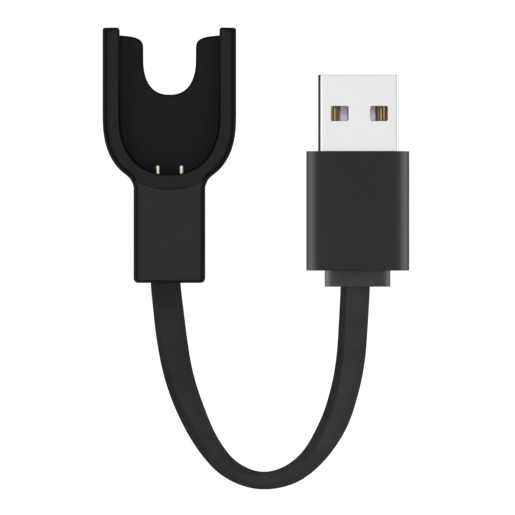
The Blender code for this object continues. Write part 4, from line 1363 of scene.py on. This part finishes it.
    def build_shell(self) -> bpy.types.Object:
        """Builds the shell: an outer and an inner wall joined at both ends and at the windows.

        Each wall is the section carried along Y. A block of quads is left out at each window,
        and rings of rounded squares join the outer block to the inner one.

        Returns:
            The shell.
        """
        rear, tip = self.shell.low[1], self.shell.high[1]
        middle = tip - self.window_from_tip
        half_y = self.window[1] / 2 + self.block_margin
        rows_y = np.concatenate([np.linspace(rear + 0.1, middle - half_y,
                                             self.rear_rows + 1)[:-1],
                                 middle + half_y * self.stops(),
                                 np.linspace(middle + half_y, tip - 0.1, 6)[1:]])
        outer, inner = self.shell_loop(0.0, 0.12), self.shell_loop(self.shell_wall, 0.0)
        lip = self.shell_loop(0.1, 0.05)
        rows = [(rear, lip)] + [(y, outer) for y in rows_y]
        rows += [(tip - 0.03, self.shell_loop(0.03, 0.1)), (tip, lip)]
        start_in = len(rows)
        rows += [(y, inner) for y in rows_y[::-1]]
        skin = Skin()
        numbers = skin.add(along_y(rows))
        skip = np.zeros(numbers.shape, bool)
        out_rows = 1 + self.rear_rows + np.arange(len(self.stops()))
        in_rows = start_in + len(rows_y) - out_rows
        across = outer[:, 0] - self.x - self.shell_shift
        for face in (1, -1):
            flat = np.abs(outer[:, 1] - (self.z + face * self.shell.size[2] / 2)) < 1e-6
            for side in (1, -1):
                cols = np.array([np.flatnonzero(flat & (np.abs(across - x) < 1e-6))[0]
                                 for x in np.sort(side * self.block_x())])
                skip[out_rows[0]:out_rows[-1], cols.min():cols.max()] = True
                skip[in_rows[-1]:in_rows[0], cols.min():cols.max()] = True
                ring_out, ring_in = (border(numbers[wall][:, cols])
                                     for wall in (out_rows, in_rows))
                self.window_wall(skin, ring_out, ring_in, face, side, middle)
        skin.join(numbers, close=True, skip=skip)
        return skin.build("usb_shell_skin", SHELL_STEEL, ("usb_shell",))

    def window_wall(self, skin: Skin, outer: Array, inner: Array, face: int, side: int,
                    middle: float) -> None:
        """Joins a window's opening in the outer wall to the one in the inner wall.

        Args:
            skin: the shell's skin.
            outer: numbers of the block's border on the outer wall.
            inner: numbers of the block's border on the inner wall.
            face: 1 for the upper face and -1 for the lower.
            side: 1 for the right-hand window and -1 for the left.
            middle: y of the window's middle.
        """
        half_x, half_y = self.window[0] / 2, self.window[1] / 2
        ring = softened(square_ring(self.stops()), self.window_corner / half_x)
        surface = self.z + face * self.shell.size[2] / 2
        drops = ((0.05, 0.0), (0.0, 0.05), (0.0, self.shell_wall))
        place = self.x + self.window_shift + side * self.window_x
        rows = [np.stack([place + ring[:, 0] * (half_x + grow),
                          middle + ring[:, 1] * (half_y + grow),
                          np.full(len(ring), surface - face * drop)], axis=-1)
                for grow, drop in drops]
        numbers = np.stack([skin.add(row) for row in rows])
        skin.join(np.concatenate([[outer], numbers, [inner]]))

    def contact_boxes(self) -> dict[str, Box]:
        """Returns the four contacts' boxes by name."""
        names = ("power", "data_minus", "data_plus", "ground")
        return {name: Box.of(f"usb_contact_{name}") for name in names}

    def rear_width(self, contact: Box) -> float:
        """Returns a contact's width behind the windows' front edge, more for the outer pair."""
        outer = abs(contact.middle[0] - self.x) > 2
        return self.contact_rear_width if outer else self.contact_front_width

    def build_tongue(self) -> bpy.types.Object:
        """Builds the insulator: its section, with a groove for each contact, carried along Y.

        The section's upper side dips by each groove's depth; in front of a contact that depth is
        nothing, so the groove ends there.

        Returns:
            The tongue.
        """
        boxes = list(self.contact_boxes().values())
        low, high = self.tongue.low, self.tongue.high
        top = boxes[0].high[2] - 0.1
        roof = high[2]
        block_front = low[1] + self.tongue_block
        gap, wall = self.groove_gap, self.groove_slope
        half = [self.rear_width(box) / 2 + gap for box in boxes]

        def section(y: float, lid: float) -> Array:
            """Returns the tongue's section at y, with its lid at the height given."""
            across, heights = [low[0]], [lid]
            for box, reach in zip(boxes, half):
                open_here = y < box.high[1] + gap and lid <= top
                depth = self.groove_depth if open_here else 0.0
                middle = box.middle[0]
                across += [middle - reach - wall, middle - reach + wall,
                           middle + reach - wall, middle + reach + wall]
                heights += [lid, lid - depth, lid - depth, lid]
            across.append(high[0])
            heights.append(lid)
            upper = np.stack([across, heights], axis=-1)[::-1]
            lower = np.stack([across, np.full(len(across), low[2])], axis=-1)
            return np.concatenate([upper, lower])

        places = [(low[1], roof), (block_front - 0.01, roof), (block_front, top)]
        for end in sorted({box.high[1] + gap for box in boxes}):
            places += [(end - 0.01, top), (end + 0.01, top)]
        nose = self.tongue_nose
        places += [(high[1] - nose, top), (high[1], top - nose)]
        skin = Skin().bar(along_y([(y, section(y, lid)) for y, lid in places]))
        return skin.build("tongue", TONGUE_WHITE, ("usb_tongue",), sharp=20.0)

    def build_contacts(self) -> list[bpy.types.Object]:
        """Builds the four contacts: strips with a raised rib, bent down at the tip.

        The section is a flat bar whose upper side is folded into shallow grooves beside a narrow
        ridge; it is carried along Y, with the outer pair wider behind the windows' front edge.

        Returns:
            The contacts.
        """
        pieces = []
        thin = self.contact_front_width
        for name, box in self.contact_boxes().items():
            tip, top, wide = box.high[1], box.high[2], self.rear_width(box)
            places = [(box.low[1], wide, 0.0), (tip - 3.6, wide, 0.0), (tip - 3.2, thin, 0.0),
                      (tip - 0.7, thin, 0.0), (tip - 0.35, thin, 0.05),
                      (tip - 0.1, thin * 0.9, 0.16), (tip, thin * 0.8, 0.28)]
            share = np.array([-1, -0.92, -0.62, -0.34, -0.1, -0.03, 0.03, 0.1, 0.34, 0.62, 0.8,
                              0.92, 1])
            lift = np.array([0.0, 0.0, 0.1, 0.01, 0.1, 0.12, 0.12, 0.1, 0.01, 0.1, 0.02, 0, 0])
            rows = []
            for y, width, drop in places:
                rib = lift * width / self.contact_rear_width
                edge = np.where(np.abs(share) > 0.99, 0.03, 0.0)
                upper = np.stack([share * width / 2, top - 0.12 - drop + rib - edge], axis=-1)
                lower = np.stack([share * width / 2, np.full(13, top - 0.34 - drop * 0.2)],
                                 axis=-1)
                rows.append((y, np.concatenate([upper[::-1], lower]) + (box.middle[0], 0.0)))
            pieces.append(Skin().bar(along_y(rows)).build(
                f"contact_{name}", CONTACT_GOLD, (f"usb_contact_{name}",)))
        return pieces

    def build(self, cable: FlatCable) -> list[bpy.types.Object]:
        """Builds every piece of the plug."""
        return [self.build_sleeve(), self.build_mould(cable), self.build_shell(),
                self.build_tongue(), *self.build_contacts()]


# ---------------------------------------------------------------------------
# Pieces kept from the frame
# ---------------------------------------------------------------------------

KEPT = {
    "pin_block": INSERT_BLACK, "dock_cable_clamp": INSERT_BLACK, "dock_board": BOARD_GREEN,
    "pogo_barrel_left": BARREL_BRASS, "pogo_barrel_right": BARREL_BRASS,
    "dock_wire_positive": WIRE_RED, "dock_wire_negative": WIRE_BLACK,
    "plug_wire_positive": WIRE_RED, "plug_wire_negative": WIRE_BLACK,
}


def dress_kept() -> None:
    """Gives the frame's own inner pieces their materials."""
    for name, finish in KEPT.items():
        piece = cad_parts[name]
        piece.data.materials.clear()
        piece.data.materials.append(finish.material())
        LOG.info("%s: kept, finished as %s", name, finish.slot)


# ---------------------------------------------------------------------------
# Studio
# ---------------------------------------------------------------------------

@dataclass(frozen=True)
class Card:
    """A soft card of light.

    Attributes:
        name: name of the light.
        place: its middle.
        aim: the point that it faces.
        size: its width and height.
        strength: how bright it looks.
        pieces: names of the pieces that it lights.
    """

    name: str
    place: tuple[float, float, float]
    aim: tuple[float, float, float]
    size: tuple[float, float]
    strength: float
    pieces: tuple[str, ...]


COVER = ("plug_cover",)
COLLAR = ("plug_collar",)
TRAY = ("tray", "base_plate")
CABLE = ("cable",)
PINS = ("pin_left", "pin_right")
SHELL = ("usb_shell_skin",)
CARDS = (
    Card("cover_left", (13.5, -12.0, 8.6), (20.0, -12.0, 8.6), (40.0, 10.0), 3.6, COVER),
    Card("cover_right", (42.5, -12.0, 8.6), (36.0, -12.0, 8.6), (40.0, 10.0), 3.6, COVER),
    Card("collar_left", (13.5, -19.0, 6.0), (20.0, -19.0, 6.0), (40.0, 10.0), 4.2, COLLAR),
    Card("collar_right", (42.5, -19.0, 6.0), (36.0, -19.0, 6.0), (40.0, 10.0), 3.0, COLLAR),
    Card("shell_right", (42.0, 9.0, 6.0), (34.0, 9.0, 6.0), (40.0, 12.0), 1.1, SHELL),
    Card("shell_left", (14.0, 9.0, 34.0), (22.0, 9.0, 7.0), (40.0, 6.0), 0.6, SHELL),
    Card("tongue_above", (28.0, 6.0, 60.0), (28.0, 6.0, 7.0), (40.0, 40.0), 2.2, ("tongue",)),
    Card("pins_above", (0.0, 8.0, 24.0), (0.0, -1.0, 6.0), (50.0, 26.0), 0.8, PINS),
    Card("pins_right", (25.0, 5.0, 14.0), (0.0, -1.0, 6.5), (14.0, 14.0), 2.3, PINS),
    Card("tray_right", (45.0, 12.0, 18.0), (0.0, 12.0, 3.0), (50.0, 24.0), 1.8, TRAY),
    Card("tray_left", (-45.0, 12.0, 18.0), (0.0, 12.0, 3.0), (50.0, 24.0), 1.3, TRAY),
    Card("cable_far", (75.0, 35.0, 70.0), (12.0, -35.0, 3.0), (50.0, 50.0), 4.0, CABLE),
    Card("cable_left", (-80.0, -20.0, 60.0), (12.0, -35.0, 3.0), (50.0, 50.0), 4.5, CABLE),
    Card("cable_near", (75.0, -70.0, 40.0), (20.0, -38.0, 3.0), (50.0, 50.0), 3.5, CABLE),
)


@dataclass
class Studio:
    """A pale floor, a soft sky of light and a long lens straight above."""

    view_middle: tuple[float, float] = (13.11, -15.21)
    view_width: float = 76.63
    sharp_height: float = 8.0
    distance: float = 3000.0
    sensor: float = 36.0
    floor_half: float = 6000.0
    sky: tuple[tuple[float, float], ...] = (
        (-1.0, 0.26), (-0.6, 0.36), (-0.3, 0.42), (0.0, 0.36), (0.12, 0.17), (0.25, 0.05),
        (0.5, 0.07), (0.66, 0.48), (0.86, 0.90), (0.96, 1.03), (1.0, 1.03))

    def build_card(self, card: Card) -> None:
        """Hangs a soft card of light that only reaches its own pieces.

        Its power is strength times pi times its area, so that strength is how bright it looks.

        Args:
            card: the card.
        """
        data = bpy.data.lights.new(card.name, "AREA")
        data.shape = "RECTANGLE"
        data.size, data.size_y = card.size[0] * MM, card.size[1] * MM
        data.energy = card.strength * np.pi * data.size * data.size_y
        light = bpy.data.objects.new(card.name, data)
        light.location = Vector(card.place) * MM
        light.rotation_euler = (Vector(card.aim) - Vector(card.place)).to_track_quat(
            "-Z", "Y").to_euler()
        light.visible_camera = False
        reach = bpy.data.collections.new(f"{card.name}_reach")
        for name in card.pieces:
            reach.objects.link(bpy.data.objects[name])
        light.light_linking.receiver_collection = reach
        light.light_linking.blocker_collection = reach
        bpy.context.scene.collection.objects.link(light)
        LOG.info("%s: card of light on %s", card.name, ", ".join(card.pieces))

    def build_camera(self) -> None:
        """Places the camera: lens = sensor times distance over the width it takes in."""
        data = bpy.data.cameras.new("camera")
        data.sensor_width = self.sensor
        data.lens = self.sensor * (self.distance - self.sharp_height) / self.view_width
        data.clip_start, data.clip_end = 0.1, 20.0
        camera = bpy.data.objects.new("camera", data)
        camera.location = (self.view_middle[0] * MM, self.view_middle[1] * MM, self.distance * MM)
        bpy.context.scene.collection.objects.link(camera)
        bpy.context.scene.camera = camera

    def build_floor(self) -> None:
        """Lays a plain white floor that glows a little, so that shadows on it stay faint."""
        material = bpy.data.materials.new("floor_white")
        material.use_nodes = True
        shader = material.node_tree.nodes["Principled BSDF"]
        shader.inputs["Base Color"].default_value = (0.8, 0.8, 0.8, 1.0)
        shader.inputs["Roughness"].default_value = 0.9
        shader.inputs["Emission Color"].default_value = (1.0, 1.0, 1.0, 1.0)
        shader.inputs["Emission Strength"].default_value = 0.9
        half = self.floor_half * MM
        mesh = bpy.data.meshes.new("floor")
        mesh.from_pydata([(-half, -half, 0), (half, -half, 0), (half, half, 0), (-half, half, 0)],
                         [], [(0, 1, 2, 3)])
        mesh.materials.append(material)
        floor = bpy.data.objects.new("floor", mesh)
        floor.visible_glossy = False
        floor.visible_diffuse = False
        bpy.context.scene.collection.objects.link(floor)

    def build_sky(self) -> None:
        """Lights the world: bright overhead, dim at middling heights, a soft glow lower down.

        The strength is a ramp over the height of the direction looked in; what the camera sees
        past the floor is plain white.
        """
        world = bpy.data.worlds.new("studio")
        world.use_nodes = True
        bpy.context.scene.world = world
        tree = world.node_tree
        place = add_node(tree, "TexCoord")
        split = add_node(tree, "SeparateXYZ", {"Vector": place.outputs["Generated"]})
        shift = add_node(tree, "MapRange", {"Value": split.outputs["Z"]}, {"From Min": -1.0})
        ramp = add_node(tree, "ValToRGB", {"Fac": shift.outputs["Result"]})
        seen = add_node(tree, "LightPath")
        choose = add_node(tree, "Mix", {"Factor": seen.outputs["Is Camera Ray"],
                                        6: ramp.outputs["Color"]}, {7: (1.0, 1.0, 1.0, 1.0)})
        tree.links.new(choose.outputs[2], tree.nodes["Background"].inputs["Color"])
        elements = ramp.color_ramp.elements
        for height, level in self.sky[1:-1]:
            elements.new((height + 1) / 2)
        for element, (height, level) in zip(elements, self.sky):
            element.position = (height + 1) / 2
            element.color = (level, level, level, 1.0)

    def light_pieces(self) -> None:
        """Hangs the cards, once the pieces that they light are there."""
        for card in CARDS:
            self.build_card(card)

    def build(self) -> None:
        """Sets the camera, the floor and the sky."""
        self.build_camera()
        self.build_floor()
        self.build_sky()
        settings = bpy.context.scene.view_settings
        settings.view_transform = "Standard"
        settings.look = "None"


def main() -> None:
    """Builds the studio, the cradle, the pins, the plug and the cable."""
    logging.basicConfig(level=logging.INFO, format="%(name)s: %(message)s")
    studio = Studio()
    studio.build()
    Cradle().build()
    SpringPins().build()
    cable = FlatCable()
    plug = Plug().build(cable)
    cable.build([*plug, "plug_wire_positive", "plug_wire_negative"])
    dress_kept()
    studio.light_pieces()


if __name__ == "__main__":
    main()
